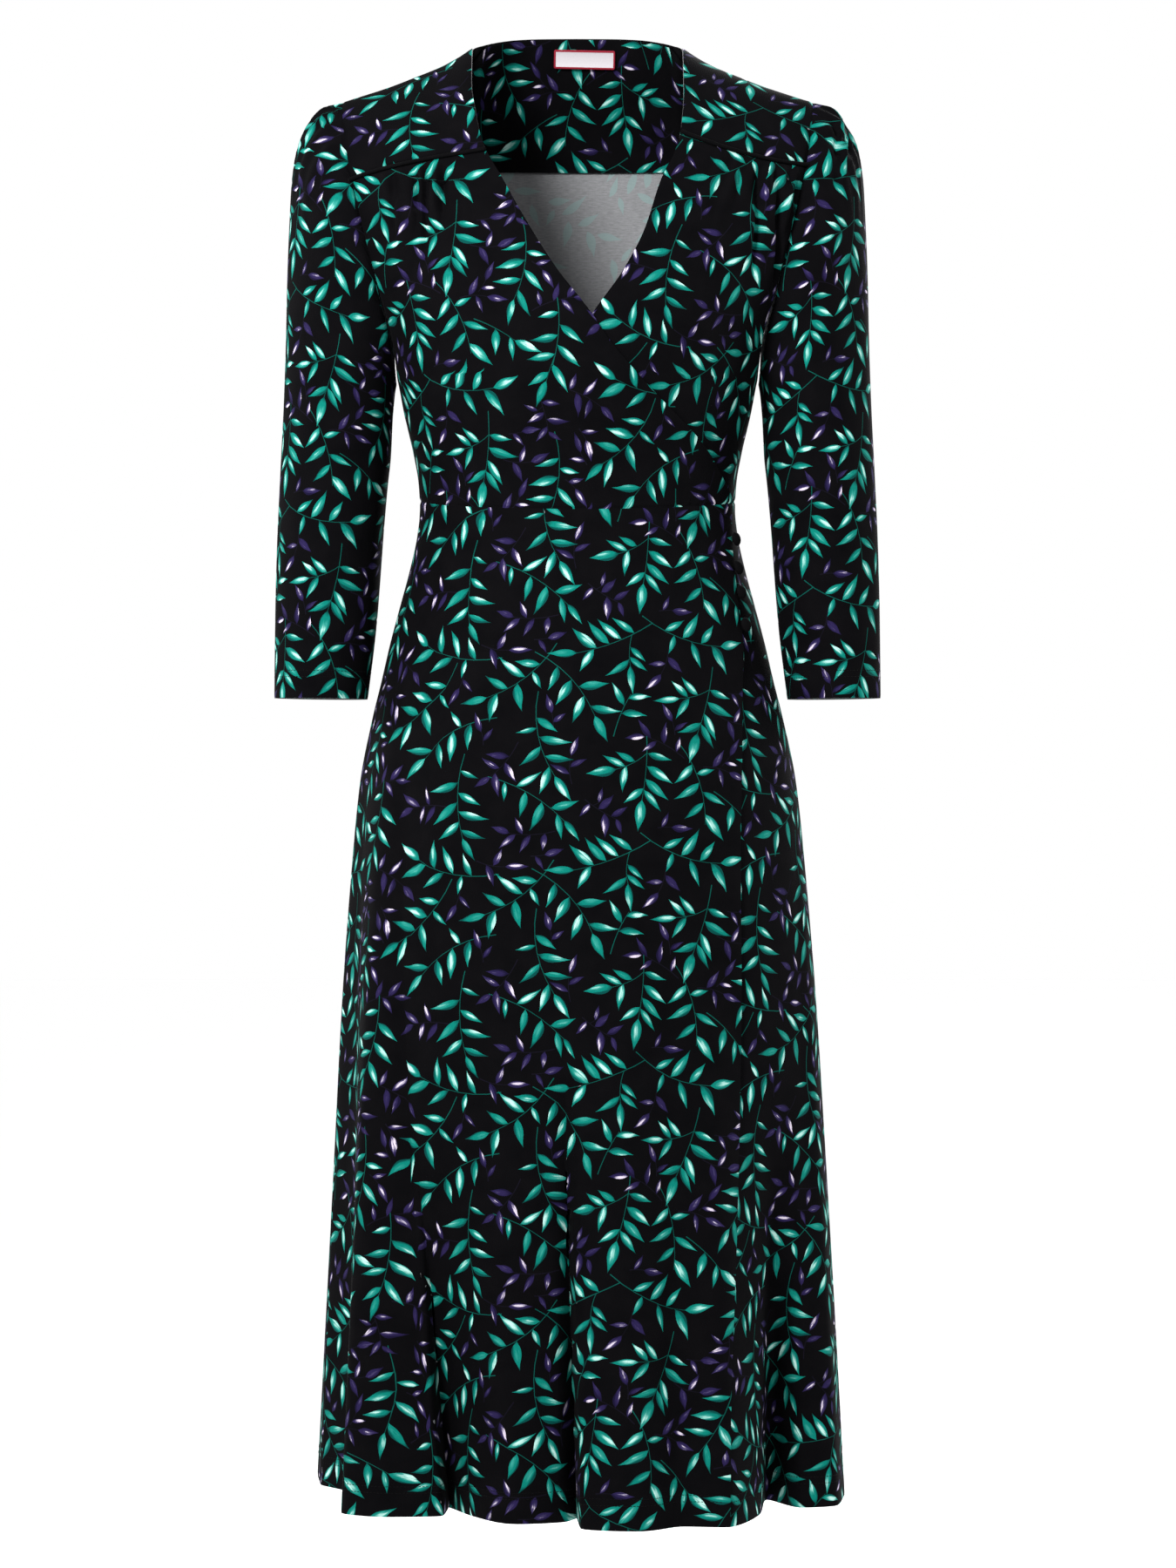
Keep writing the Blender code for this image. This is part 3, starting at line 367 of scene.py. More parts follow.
def body_point(angle, z):
    """Points of the body's form at angles round it and heights."""
    toward_side = np.cos(angle)
    x = -half_width_at(z) * toward_side
    in_front = np.mod(angle, 2.0 * math.pi) <= math.pi
    depth = np.where(in_front, section_at["front"](z), section_at["back"](z))
    away = depth * np.maximum(0.0, 1.0 - np.abs(toward_side) ** SQUARENESS) ** (1.0 / SQUARENESS)
    y = np.where(in_front, -away, away)
    past_neck = NECK_HALF_WIDTH - np.abs(x)
    rising = in_front & (past_neck > 0.0)
    rim_y = np.where(rising, rim_at["y"](NECK_HALF_WIDTH), rim_at["y"](np.abs(x)))
    rim_z = np.where(rising, rim_z_at(NECK_HALF_WIDTH) + past_neck * NECK_RISE, rim_z_at(np.abs(x)))
    below_rim = np.clip((rim_z - z) / np.where(in_front, SHOULDER_ROLL, BACK_ROLL), 0.0, 1.0)
    stand = 1.0 - smooth_step((np.abs(x) - NECK_ROLL_FROM) / (NECK_ROLL_TO - NECK_ROLL_FROM))
    roundness = np.where(in_front, 0.5, blend(0.5, 1.0, stand))
    rolled = (1.0 - (1.0 - below_rim) ** 2) ** roundness
    return column_stack(x, blend(rim_y, y, rolled), z)


def skirt_point(turns, z):
    """Points of the skirt: turns is 0 to 1 over the front and 1 to 2 over the back."""
    turns = np.mod(turns, 2.0)
    share = np.where(turns > 1.0, turns - 1.0, turns)
    x, y, start = (np.where(turns > 1.0, back_folds[column](share), front_folds[column](share))
                   for column in ("x", "y", "start"))
    growth = (np.maximum(0.0, start - z) / (start - HEM)) ** FOLD_GROWTH
    hem = np.full_like(share, HEM)
    moved = column_stack(x, y, hem) - body_point(math.pi * turns, hem)
    return body_point(math.pi * turns, z) + moved * growth[..., None]


def armhole_height(turn):
    """Height on the armhole, where turn is 0 at the underarm and a half turn at the shoulder point."""
    return blend(UNDERARM, ARMHOLE_TOP, (1.0 - np.cos(turn)) / 2.0)


def armhole_turn(z):
    return np.arccos(1.0 - 2.0 * (z - UNDERARM) / (ARMHOLE_TOP - UNDERARM))


def armhole_angle(z):
    """How far from the side seam the armhole runs at a height."""
    share = np.clip((z - UNDERARM) / (ARMHOLE_TOP - UNDERARM), 0.0, 1.0)
    return ARMHOLE_ANGLE * (1.0 - (1.0 - share) ** 3) ** ARMHOLE_BOW


def sleeve_point(turn, share):
    """Points of the wearer's right sleeve: turn 0 at the underarm, in front of the arm up to a half turn.

    A share below 0 runs on straight into the armhole, for the seam allowance.
    """
    def section(at):
        read = {column: curve(at) for column, curve in sleeve_curves.items()}
        x, z = (blend(outer, inner, (1.0 + np.cos(turn)) / 2.0) for outer, inner in (
            (-read["outer_x"], -read["inner_x"]), (read["outer_z"], read["inner_z"])))
        return column_stack(x, -read["forward"] - read["depth"] * np.sin(turn), z)

    z = armhole_height(turn)
    angle = np.where(turn <= math.pi, armhole_angle(z), -armhole_angle(z))
    away = body_point(angle, z) - section(np.zeros_like(share))

    def place(at):
        return section(at) + away * (1.0 - smooth_step(at / SLEEVE_SETTLES_AT))[..., None]

    before = np.minimum(share, 0.0)
    if not before.any():
        return place(share)
    near = SLEEVE_STEPS[1]
    start = place(np.zeros_like(share))
    return place(share - before) + (place(np.full_like(share, near)) - start) * (before / near)[..., None]


def angle_of(x, z, in_front=True):
    """Angle round the body of the point with this x at this height."""
    angle = np.arccos(np.clip(-x / half_width_at(z), -1.0, 1.0))
    return angle if in_front else 2.0 * math.pi - angle


def outward(surface, along, down, steps=BODY_STEPS, low=-math.inf, high=math.inf):
    """A surface's outward normals at places, read a step to either side and not past low and high."""
    across = surface(along + steps[0], down) - surface(along - steps[0], down)
    beyond, before = np.minimum(high, down + steps[1]), np.maximum(low, down - steps[1])
    return unit(np.cross(across, surface(along, beyond) - surface(along, before)))


def waist_height(angle):
    return WAIST_SIDE - WAIST_FRONT_DROP * np.maximum(0.0, np.sin(angle))


def yoke_seam_height(seam, angle):
    """Height of a front yoke seam between the armhole and the neck edge."""
    end = angle_of(-seam.neck_x, seam.at_neck)
    start = armhole_angle(seam.at_armhole)
    share = np.clip((angle - start) / (end - start), 0.0, 1.0)
    return blend(seam.at_armhole, seam.at_neck, share ** seam.bow)


def gather_lift(gathers, share, below_seam):
    """Rounded folds of the cloth gathered into the yoke seam, flat at the seam itself."""
    place = np.clip((share - gathers.start) / (gathers.end - gathers.start), 0.0, 1.0) * gathers.count
    strength = GATHER_STRENGTHS[place.astype(int) % len(GATHER_STRENGTHS)]
    wave = (1.0 - np.cos(2.0 * math.pi * place)) / 2.0
    fade = smooth_step(1.0 - below_seam / (gathers.reach * strength))
    return gathers.depth * strength * wave * smooth_step(below_seam / GATHER_RISE) * fade


def overlap_lift(share, z):
    """How far outside the body's form the right front lies, so that the left front fits below it."""
    bodice_hidden = angle_of(-left_edge_at(z), z) / math.pi
    hidden = np.where(z > WAIST_SIDE, bodice_hidden, HIDDEN_EDGE_SHARE)
    return OVERLAP_LIFT * smooth_step((share - (hidden - OVERLAP_START)) / OVERLAP_EASE)


def sleeve_gather(turn, share):
    """Small folds where the sleeve head is gathered into the armhole near the shoulder point."""
    from_top = math.pi - turn
    gathered = (from_top > -GATHERED_BEHIND) & (from_top < GATHERED_IN_FRONT)
    wave = (1.0 - np.cos(2.0 * math.pi * from_top / SLEEVE_GATHER_STEP)) / 2.0
    rise = smooth_step(share / SLEEVE_GATHER_RISE)
    fade = smooth_step(1.0 - share / SLEEVE_GATHER_REACH)
    return np.where(gathered, SLEEVE_GATHER_DEPTH * wave * rise * fade, 0.0)


# --- Grids and panels ---
def patch(top, bottom, left, right):
    """Grid of places between four edges, each edge an array of (along, down)."""
    top[0], top[-1], bottom[0], bottom[-1] = left[0], right[0], left[-1], right[-1]
    u = ((bottom[:, 0] - bottom[0, 0]) / (bottom[-1, 0] - bottom[0, 0]))[None, :, None]
    v = ((left[:, 1] - left[0, 1]) / (left[-1, 1] - left[0, 1]))[:, None, None]
    ruled = blend(top[None], bottom[None], v) + blend(left[:, None], right[:, None], u)
    return ruled - blend(blend(top[0], top[-1], u), blend(bottom[0], bottom[-1], u), v)


def with_edge_lines(values, size, at_end=True):
    """Adds lines close to the ends of a row of places; size is the row's whole length in metres."""
    near = EDGE_LINES / size * (values[-1] - values[0])
    room = abs(near[-1]) * EDGE_ROOM
    kept, last = values[1:-1], values[-1:]
    kept = kept[np.abs(kept - values[0]) > room]
    if at_end:
        kept = kept[np.abs(kept - values[-1]) > room]
        last = np.append(values[-1] - near[::-1], last)
    return np.concatenate((values[:1], values[0] + near, kept, last))


def grid_cell(grid, j, i):
    """A grid's four values round fractional rows and columns, and the shares down and across between them."""
    row = np.clip(j.astype(int), 0, grid.shape[0] - 2)
    column = np.clip(i.astype(int), 0, grid.shape[1] - 2)
    near = grid[row, column], grid[row, column + 1], grid[row + 1, column], grid[row + 1, column + 1]
    return near, (j - row)[..., None], (i - column)[..., None]


def read_grid(grid, j, i):
    """Bilinear reading of a grid at fractional rows and columns."""
    (a, b, c, d), v, u = grid_cell(grid, j, i)
    return blend(blend(a, b, u), blend(c, d, u), v)


def lay_flat(points, start):
    """Lays a coarse grid of points flat, keeping the lengths of its sides and diagonals."""
    number = np.arange(start[..., 0].size).reshape(start.shape[:2])
    links = ((number[:, :-1], number[:, 1:]), (number[:-1], number[1:]),
             (number[:-1, :-1], number[1:, 1:]), (number[:-1, 1:], number[1:, :-1]))
    places, flat = points.reshape(-1, 3), start.reshape(-1, 2).copy()
    lengths = [np.linalg.norm(places[b] - places[a], axis=-1) for a, b in links]
    for step in range(FLATTENING_ROUNDS):
        moves = np.zeros_like(flat)
        for (a, b), length in zip(links, lengths):
            apart = flat[b] - flat[a]
            now = np.linalg.norm(apart, axis=-1)
            push = apart * (0.5 * (now - length) / now)[..., None]
            moves[a] += push
            moves[b] -= push
        flat += moves * FLATTENING_PACE
    centre = start.mean(axis=(0, 1))
    flat -= flat.mean(axis=0)
    before = start.reshape(-1, 2) - centre
    turn = math.atan2(np.sum(flat_cross(flat, before)), np.sum(flat * before))
    return (rotate(flat, turn) + centre).reshape(start.shape)


def with_tuck(facts, side, amounts):
    """Adds a seam allowance beyond the top, left or right of a grid with edge lines."""
    grid = facts if side == "top" else facts.swapaxes(0, 1)
    grid = grid[::-1] if side == "right" else grid
    beyond = (grid[0] - grid[1]) / EDGE_LINES[0]
    added = [grid[0] + beyond * (amounts * (1.0 - line / TUCK))[:, None] for line in TUCK_LINES]
    grid = np.concatenate((added, grid))
    grid = grid[::-1] if side == "right" else grid
    return grid if side == "top" else grid.swapaxes(0, 1)


class Panel:
    """A piece of cloth: a grid of places on a surface from its top row down, and its flat cut.

    The cut's coordinates are metres across and up on the cloth as seen from outside the dress. A tucked
    side has a seam allowance that lies below the neighbouring panel and closes the seam. A backward panel
    has its surface's first coordinate running the other way round, and the second one from 0 to 1.
    """

    def __init__(self, surface, places, shares, lift=None, roll=Roll(), tucks=(), backward=False,
                 mirrored=False, reference=0.5):
        self.surface, self.lift, self.roll, self.tucks = surface, lift, roll, tucks
        self.backward, self.mirrored = backward, mirrored
        self.handed = -1.0 if backward != mirrored else 1.0
        self.steps = (SLEEVE_STEPS, 0.0, 1.0) if backward else (BODY_STEPS,)
        shares = np.asarray(shares)[None, :]
        self.facts = column_stack(places[..., 0], places[..., 1], shares, places[:1, :, 1])
        for side in tucks:
            amounts = np.full(places.shape[1], TUCK)
            if side != "top":
                heights = self.facts[:, 0 if side == "left" else -1, 1]
                amounts = np.maximum(LEAST_TUCK, TUCK * smooth_step((heights - UNDERARM) / TUCK_GROWTH))
            self.facts = with_tuck(self.facts, side, amounts)
        self.size = self.facts.shape[:2]
        self.creases = []
        self.cloth = self.flatten(reference)

    def flatten(self, reference):
        """The panel's flat cut: laid out along one column, then relaxed to its true lengths."""
        rows, columns = self.size
        whole = self.surface(self.facts[..., 0], self.facts[..., 1])
        row_places, column_places = lengths_along(whole[:, columns // 2]), lengths_along(whole[rows // 2])
        row_places, column_places = row_places / row_places[-1], column_places / column_places[-1]
        even = np.linspace(0.0, 1.0, COARSE_LINES)
        j, i = np.meshgrid(np.interp(even, row_places, np.arange(rows)),
                           np.interp(even, column_places, np.arange(columns)), indexing="ij")
        along, down = np.moveaxis(read_grid(self.facts, j, i)[..., :2], -1, 0)
        across_axis = np.linspace(along.min(), along.max(), FINE_LINES)
        down_axis = np.linspace(down.min(), down.max(), FINE_LINES)
        middle = blend(across_axis[0], across_axis[-1], reference)
        column = self.surface(np.full(FINE_LINES, middle), down_axis)
        height = np.interp(down, down_axis, lengths_along(column)) * (-1.0 if self.backward else 1.0)
        reach = lengths_along(self.surface(*np.meshgrid(across_axis, down_axis, indexing="ij")))
        reach -= reach[int(round(reference * (FINE_LINES - 1)))][None]
        at = [(values - axis[0]) / (axis[-1] - axis[0]) * (FINE_LINES - 1)
              for values, axis in ((along, across_axis), (down, down_axis))]
        width = read_grid(reach[..., None], *at)[..., 0]
        flat = lay_flat(self.surface(along, down), np.stack((width, height), axis=-1))
        flat[..., 0] *= self.handed
        all_j, all_i = np.meshgrid(row_places, column_places, indexing="ij")
        return read_grid(flat, all_j * (COARSE_LINES - 1), all_i * (COARSE_LINES - 1))

    def cut_size(self):
        """Width, length and area of the flat cut."""
        corners = self.cloth.reshape(-1, 2)
        width, length = corners.max(axis=0) - corners.min(axis=0)
        return (float(width), float(length)), float(signed_area(corners[self.ring()]))

    def ring(self):
        """Numbers of the grid's corners along its outline, counter-clockwise."""
        number = np.arange(self.facts[..., 0].size).reshape(self.size)
        ring = np.concatenate((number[0, :-1], number[:-1, -1], number[-1, :0:-1], number[:0:-1, 0]))
        return ring[::-1] if signed_area(self.cloth.reshape(-1, 2)[ring]) < 0.0 else ring

    def point(self, j, i):
        """Point of the outer face, at fractional rows and columns."""
        along, down, share, top = np.moveaxis(read_grid(self.facts, j, i), -1, 0)
        here = read_grid(self.cloth, j, i)
        height = self.lift(along, down, share, top - down) if self.lift else np.zeros_like(along)
        ease = np.ones_like(along)
        last_j, last_i = self.size[0] - 1, self.size[1] - 1
        ends = ((0.0 * j, i), (0.0 * j + last_j, i), (j, 0.0 * i), (j, 0.0 * i + last_i))
        for side, end, depth in zip(Roll._fields, ends, self.roll):
            distance = np.linalg.norm(read_grid(self.cloth, *end) - here, axis=-1)
            if side in self.tucks:
                distance = distance - TUCK
                height = height - TUCK_DEPTH * smooth_step(-distance / TUCK)
                distance = np.maximum(0.0, distance)
                ease = ease * smooth_step(distance / CREASE_EASE)
            height = height - depth * np.exp(-(distance / ROLL_WIDTH) ** 2)
        for crease in self.creases:
            height = height + crease(here) * ease
        normal = outward(self.surface, along, down, *self.steps)
        place = self.surface(along, down) + normal * height[..., None]
        return place * MIRROR if self.mirrored else place

    def face(self, j, i):
        """Points of the outer face and the normals there."""
        reach = 0.06
        rows, columns = self.size
        across = self.point(j, np.minimum(i + reach, columns - 1)) - self.point(j, np.maximum(i - reach, 0))
        upward = self.point(np.maximum(j - reach, 0), i) - self.point(np.minimum(j + reach, rows - 1), i)
        return self.point(j, i), unit(np.cross(across, upward) * self.handed)

    def find(self, spots):
        """Fractional rows and columns of spots on the flat cut, by stepping from the nearest corner."""
        rows, columns = self.size
        corners = self.cloth.reshape(-1, 2)
        tree = kdtree.KDTree(len(corners))
        for number, (u, w) in enumerate(corners.tolist()):
            tree.insert((u, w, 0.0), number)
        tree.balance()
        nearest = np.array([tree.find((u, w, 0.0))[1] for u, w in spots.tolist()], dtype=int)
        j, i = (nearest // columns).astype(float), (nearest % columns).astype(float)
        for step in range(10):
            (a, b, c, d), v, u = grid_cell(self.cloth, j, i)
            miss = spots - blend(blend(a, b, u), blend(c, d, u), v)
            by_i, by_j = blend(b - a, d - c, v), blend(c - a, d - b, u)
            size = flat_cross(by_i, by_j)
            size = np.where(np.abs(size) < 1e-14, 1e-14, size)
            i = np.clip(i + np.clip(flat_cross(miss, by_j) / size, -2.0, 2.0), 0.0, columns - 1.0)
            j = np.clip(j + np.clip(flat_cross(by_i, miss) / size, -2.0, 2.0), 0.0, rows - 1.0)
        return j, i


# --- Creases ---
CREASE = "x z end_x end_z width height bow"
LEFT_FRONT_CREASES = table(
    CREASE,
    (0.1366, -0.0915, 0.1325, -0.2050, 0.0036, -0.0066, 0.03),
    (0.1545, -0.0945, 0.1508, -0.2250, 0.0036, -0.0074, -0.02),
    (0.1680, -0.0980, 0.1645, -0.1900, 0.0030, -0.0054, 0.04),
    (0.1765, -0.1000, 0.1730, -0.1640, 0.0026, -0.0034, 0.00),
    (0.1462, -0.0930, 0.1425, -0.1700, 0.0038, 0.0024, 0.02),
    (0.1612, -0.0965, 0.1580, -0.1760, 0.0034, 0.0024, -0.02),
    (0.1722, -0.0990, 0.1698, -0.1480, 0.0026, 0.0018, 0.00),
    (0.1240, -0.0890, 0.1215, -0.1350, 0.0034, -0.0018, 0.05),
)
RIGHT_FRONT_CREASES = table(
    CREASE,
    (-0.1262, -0.0930, -0.1268, -0.1650, 0.0030, -0.0056, 0.03),
    (-0.1152, -0.0910, -0.1160, -0.1860, 0.0032, -0.0068, -0.03),
    (-0.1050, -0.0890, -0.1062, -0.1560, 0.0028, -0.0054, 0.02),
    (-0.1206, -0.0920, -0.1214, -0.1500, 0.0026, 0.0026, 0.00),
    (-0.1100, -0.0900, -0.1108, -0.1420, 0.0026, 0.0028, 0.00),
    (-0.1430, -0.0970, -0.1440, -0.1760, 0.0034, -0.0040, 0.02),
)
LEFT_SLEEVE_CREASES = table(
    CREASE,
    (0.1946, -0.0480, 0.2010, -0.1350, 0.0036, -0.0044, -0.04),
    (0.1996, -0.0490, 0.2066, -0.1150, 0.0032, 0.0030, -0.03),
    (0.2040, -0.0500, 0.2110, -0.1000, 0.0030, -0.0036, -0.03),
    (0.2082, -0.0540, 0.2146, -0.0950, 0.0030, 0.0018, -0.03),
    (0.2120, -0.0570, 0.2180, -0.0900, 0.0028, -0.0020, -0.03),
)
RIGHT_SLEEVE_CREASES = table(
    CREASE,
    (-0.1822, -0.0430, -0.1872, -0.0720, 0.0028, -0.0026, 0.03),
    (-0.1895, -0.0445, -0.1940, -0.0680, 0.0026, -0.0020, 0.03),
    (-0.1858, -0.0430, -0.1910, -0.0690, 0.0024, 0.0014, 0.03),
)
SLEEVE_BEHIND_CREASES = table(    # on both sleeves, placed here for the wearer's left one
    CREASE,
    (0.1900, -0.0560, 0.1960, -0.1080, 0.0040, -0.0022, 0.05),
    (0.1990, -0.0540, 0.2050, -0.0900, 0.0036, -0.0016, 0.04),
    (0.1900, -0.2950, 0.2180, -0.3230, 0.0070, -0.0016, 0.10),
    (0.1930, -0.3400, 0.2150, -0.3500, 0.0060, -0.0012, -0.08),
)
BACK_CREASES = table(
    CREASE,
    (-0.1400, -0.1900, -0.0950, -0.1500, 0.0080, -0.0018, 0.08),
    (0.1420, -0.2000, 0.1010, -0.1540, 0.0080, -0.0020, -0.08),
    (-0.0700, -0.3430, -0.0640, -0.2700, 0.0060, -0.0020, 0.03),
    (-0.0380, -0.3430, -0.0400, -0.3000, 0.0050, -0.0014, -0.02),
    (0.0620, -0.3430, 0.0560, -0.2800, 0.0060, -0.0018, -0.04),
    (0.0900, -0.3430, 0.0880, -0.3060, 0.0050, -0.0012, 0.02),
)
CREASE_PARTS = 8
CREASE_START, CREASE_END = 0.35, 0.45   # shares of its length over which a crease deepens and fades


def crease_on(panel, crease, behind=False):
    """A soft ridge, or trough where its height is below 0, between two places seen from the front."""
    rows, columns = panel.size
    j, i = np.meshgrid(np.arange(float(rows)), np.arange(float(columns)), indexing="ij")
    along, down = np.moveaxis(read_grid(panel.facts, j, i)[..., :2], -1, 0)
    points = panel.surface(along, down)
    if panel.mirrored:
        points = points * MIRROR
    hidden = 1.0 * ((along > math.pi) != behind) if panel.surface is sleeve_point else 0.0

    def on_cloth(x, z):
        off = np.hypot(points[..., 0] - x, points[..., 2] - z) + hidden
        return panel.cloth.reshape(-1, 2)[np.argmin(off)]

    start = on_cloth(crease.x, crease.z)
    end = on_cloth(crease.end_x, crease.end_z)
    across = np.array((-(end - start)[1], (end - start)[0])) * crease.bow
    shares = spread(0.0, 1.0, CREASE_PARTS)
    route = blend(start, end, shares[:, None]) + across * (4.0 * shares * (1.0 - shares))[:, None]

    def height(here):
        nearest = np.full(here.shape[:-1], np.inf)
        place = np.zeros(here.shape[:-1])
        for number, (a, b) in enumerate(zip(route, route[1:])):
            along_part = np.clip(np.sum((here - a) * (b - a), axis=-1) / np.sum((b - a) ** 2), 0.0, 1.0)
            away = np.linalg.norm(here - a - (b - a) * along_part[..., None], axis=-1)
            place = np.where(away < nearest, (number + along_part) / CREASE_PARTS, place)
            nearest = np.minimum(away, nearest)
        taper = smooth_step(place / CREASE_START) * smooth_step((1.0 - place) / CREASE_END)
        return crease.height * taper * np.exp(-(nearest / crease.width) ** 2)

    return height


# --- The print: an all-over layout of ordinary leaf sprigs ---
TILE = np.array((0.330, 0.168))
STEM_PARTS = 6
STEM_HALF_WIDTH = 0.00034
STEM_ROOM = 0.0004
STEM_TAPER, TWIG_TAPER, STALK_TAPER = (1.1, 0.55), (0.8, 0.5), (0.8, 0.7)
PETIOLE = 0.04              # of a leaf's length stands off its stem
LEAF_ROOM = 0.0006          # free ground kept round each leaf
SPRIG_CLOSENESS = 0.86      # how much of that room leaves of one sprig keep
LEAF_HOOK = 0.15            # how much a leaf bends back towards its stem, by share of its length
LEAF_PROFILE = table(
    "share width", (0.00, 0.05), (0.07, 0.34), (0.16, 0.69), (0.27, 0.93), (0.39, 1.00), (0.52, 0.91),
    (0.65, 0.66), (0.78, 0.36), (0.90, 0.14), (1.00, 0.0))

Leaf = namedtuple("Leaf", "at side angle length")
Twig = namedtuple("Twig", "at angle length bend leaves")
Shape = namedtuple("Shape", "kind outline base way length half tone")
BARE = Shape("ground", None, (0.0, 0.0), (0.0, 1.0), 1.0, 1.0, 0.5)


def sprig(*twigs):
    """A main stem and then its branches: at, angle, length, bend, and a row for each leaf."""
    return [Twig(*twig[:4], [Leaf(*leaf) for leaf in twig[4:]]) for twig in twigs]


# Leaves and branches are placed by the share of their stem, the side, and the angle from it in degrees.
TEAL_SPRIGS = [
    sprig((0.0, 0, 0.062, 0.40, (0.26, -1, 58, 0.021), (0.44, -1, 64, 0.023), (0.60, -1, 56, 0.024),
           (0.76, -1, 48, 0.025), (0.80, 1, 34, 0.020), (1.0, 0, -6, 0.025)),
          (0.30, -44, 0.024, -0.5, (0.40, 1, 56, 0.018), (0.72, 1, 44, 0.017), (0.80, -1, 40, 0.021),
           (1.0, 0, 0, 0.022))),
    sprig((0.0, 0, 0.066, -0.55, (0.20, 1, 66, 0.016), (0.34, -1, 52, 0.024), (0.46, 1, 60, 0.022),
           (0.57, -1, 50, 0.025), (0.68, 1, 56, 0.024), (0.80, -1, 42, 0.023), (0.90, 1, 36, 0.020),
           (1.0, 0, 4, 0.021))),
    sprig((0.0, 0, 0.054, 0.25, (0.34, 1, 72, 0.020), (0.52, 1, 60, 0.024), (0.70, 1, 48, 0.023),
           (0.86, 1, 40, 0.021), (0.84, -1, 36, 0.020), (1.0, 0, 8, 0.026)),
          (0.34, 44, 0.026, 0.5, (0.42, -1, 60, 0.018), (0.74, -1, 50, 0.019), (0.70, 1, 44, 0.020),
           (1.0, 0, 0, 0.023))),
    sprig((0.0, 0, 0.068, 0.75, (0.30, -1, 50, 0.020), (0.42, 1, 74, 0.016), (0.52, -1, 60, 0.025),
           (0.63, 1, 52, 0.023), (0.75, -1, 54, 0.022), (0.88, 1, 38, 0.024), (1.0, 0, 0, 0.022))),
    sprig((0.0, 0, 0.036, -0.30, (0.52, 1, 58, 0.020), (0.70, -1, 50, 0.022), (0.88, 1, 36, 0.018),
           (1.0, 0, -4, 0.024))),
]
PURPLE_SPRIGS = [
    sprig((0.0, 0, 0.030, 0.30, (0.15, 1, 74, 0.014), (0.40, -1, 62, 0.017), (0.58, 1, 54, 0.018),
           (0.76, -1, 46, 0.016), (0.90, 1, 36, 0.013), (1.0, 0, -6, 0.018)),
          (0.25, 62, 0.012, 0.2, (1.0, 0, 0, 0.016), (0.4, -1, 50, 0.012))),
    sprig((0.0, 0, 0.034, -0.45, (0.22, -1, 68, 0.013), (0.38, 1, 56, 0.018), (0.54, -1, 52, 0.017),
           (0.72, 1, 58, 0.015), (0.86, -1, 38, 0.018), (1.0, 0, 8, 0.016))),
    sprig((0.0, 0, 0.022, 0.50, (0.35, 1, 50, 0.017), (0.60, -1, 60, 0.015), (1.0, 0, 0, 0.018))),
    sprig((0.0, 0, 0.010, 0.20, (0.30, 1, 44, 0.013), (1.0, 0, -10, 0.017))),
]
GROWTHS = table(
    "kind sprigs slim turn spread attempts share leaves",
    ("teal", TEAL_SPRIGS[:4], 0.150, 184, 62, 1200, 0.99, 76),
    ("teal", TEAL_SPRIGS, 0.148, 176, 90, 2600, 0.84, 112),
    ("purple", PURPLE_SPRIGS[:2], 0.165, 180, 180, 1500, 0.74, 34),
    ("purple", PURPLE_SPRIGS, 0.165, 180, 180, 2500, 0.80, 66),
    ("teal", TEAL_SPRIGS[4:], 0.155, 180, 180, 900, 0.75, 124),
    ("purple", PURPLE_SPRIGS[2:], 0.165, 180, 180, 1500, 0.99, 78),
)


def stem_route(start, heading, length, bend):
    """Points along a bending stem, and its heading at each; heading 0 is up."""
    turns = heading + bend * spread(0.0, 1.0, STEM_PARTS)
    ways = column_stack(-np.sin(turns), np.cos(turns))
    steps = (ways[1:] + ways[:-1]) / 2.0 * length / STEM_PARTS
    return np.concatenate((start[None], start + np.cumsum(steps, axis=0))), turns


def on_stem(route, turns, share):
    """Place on a stem at a share of its length, and its heading there."""
    x, y, turn = (np.interp(share * STEM_PARTS, range(STEM_PARTS + 1), part) for part in (*route.T, turns))
    return np.array((x, y)), float(turn)


def ribbon(kind, route, turns, taper):
    """Shape of a thin tapering stem."""
    widths = np.linspace(*taper, len(route)) * STEM_HALF_WIDTH
    thick = column_stack(np.cos(turns), np.sin(turns)) * widths[:, None]
    outline = np.concatenate((route + thick, (route - thick)[::-1]))
    return Shape(kind + "_stem", outline, route[0], np.array((0.0, 1.0)), 0.01, 0.01, 0.5)


def leaf_shapes(kind, base, turn, length, slim, hook, tone):
    """A pointed leaf that bends a little, its stalk, and the discs that it covers."""
    stalk = rotate((0.0, length * PETIOLE), turn) + base
    middles = np.array([(-hook * length * t * t, length * t * (1.0 - PETIOLE)) for t, _ in LEAF_PROFILE])
    half = slim * length * np.array([(row.width, 0.0) for row in LEAF_PROFILE])
    outline = rotate(np.concatenate((middles + half, (middles - half)[-2::-1])), turn) + stalk
    spine = rotate(middles, turn) + stalk
    reach = float(np.linalg.norm(spine[-1] - spine[0]))
    leaf = Shape(kind, outline, spine[0], (spine[-1] - spine[0]) / reach, reach, slim * length, tone)
    stem = ribbon(kind, np.stack((base, blend(stalk, spine[1], 0.5))), np.array((turn, turn)), STALK_TAPER)
    return leaf, stem, spine[1:-1], half[1:-1, 0] + LEAF_ROOM


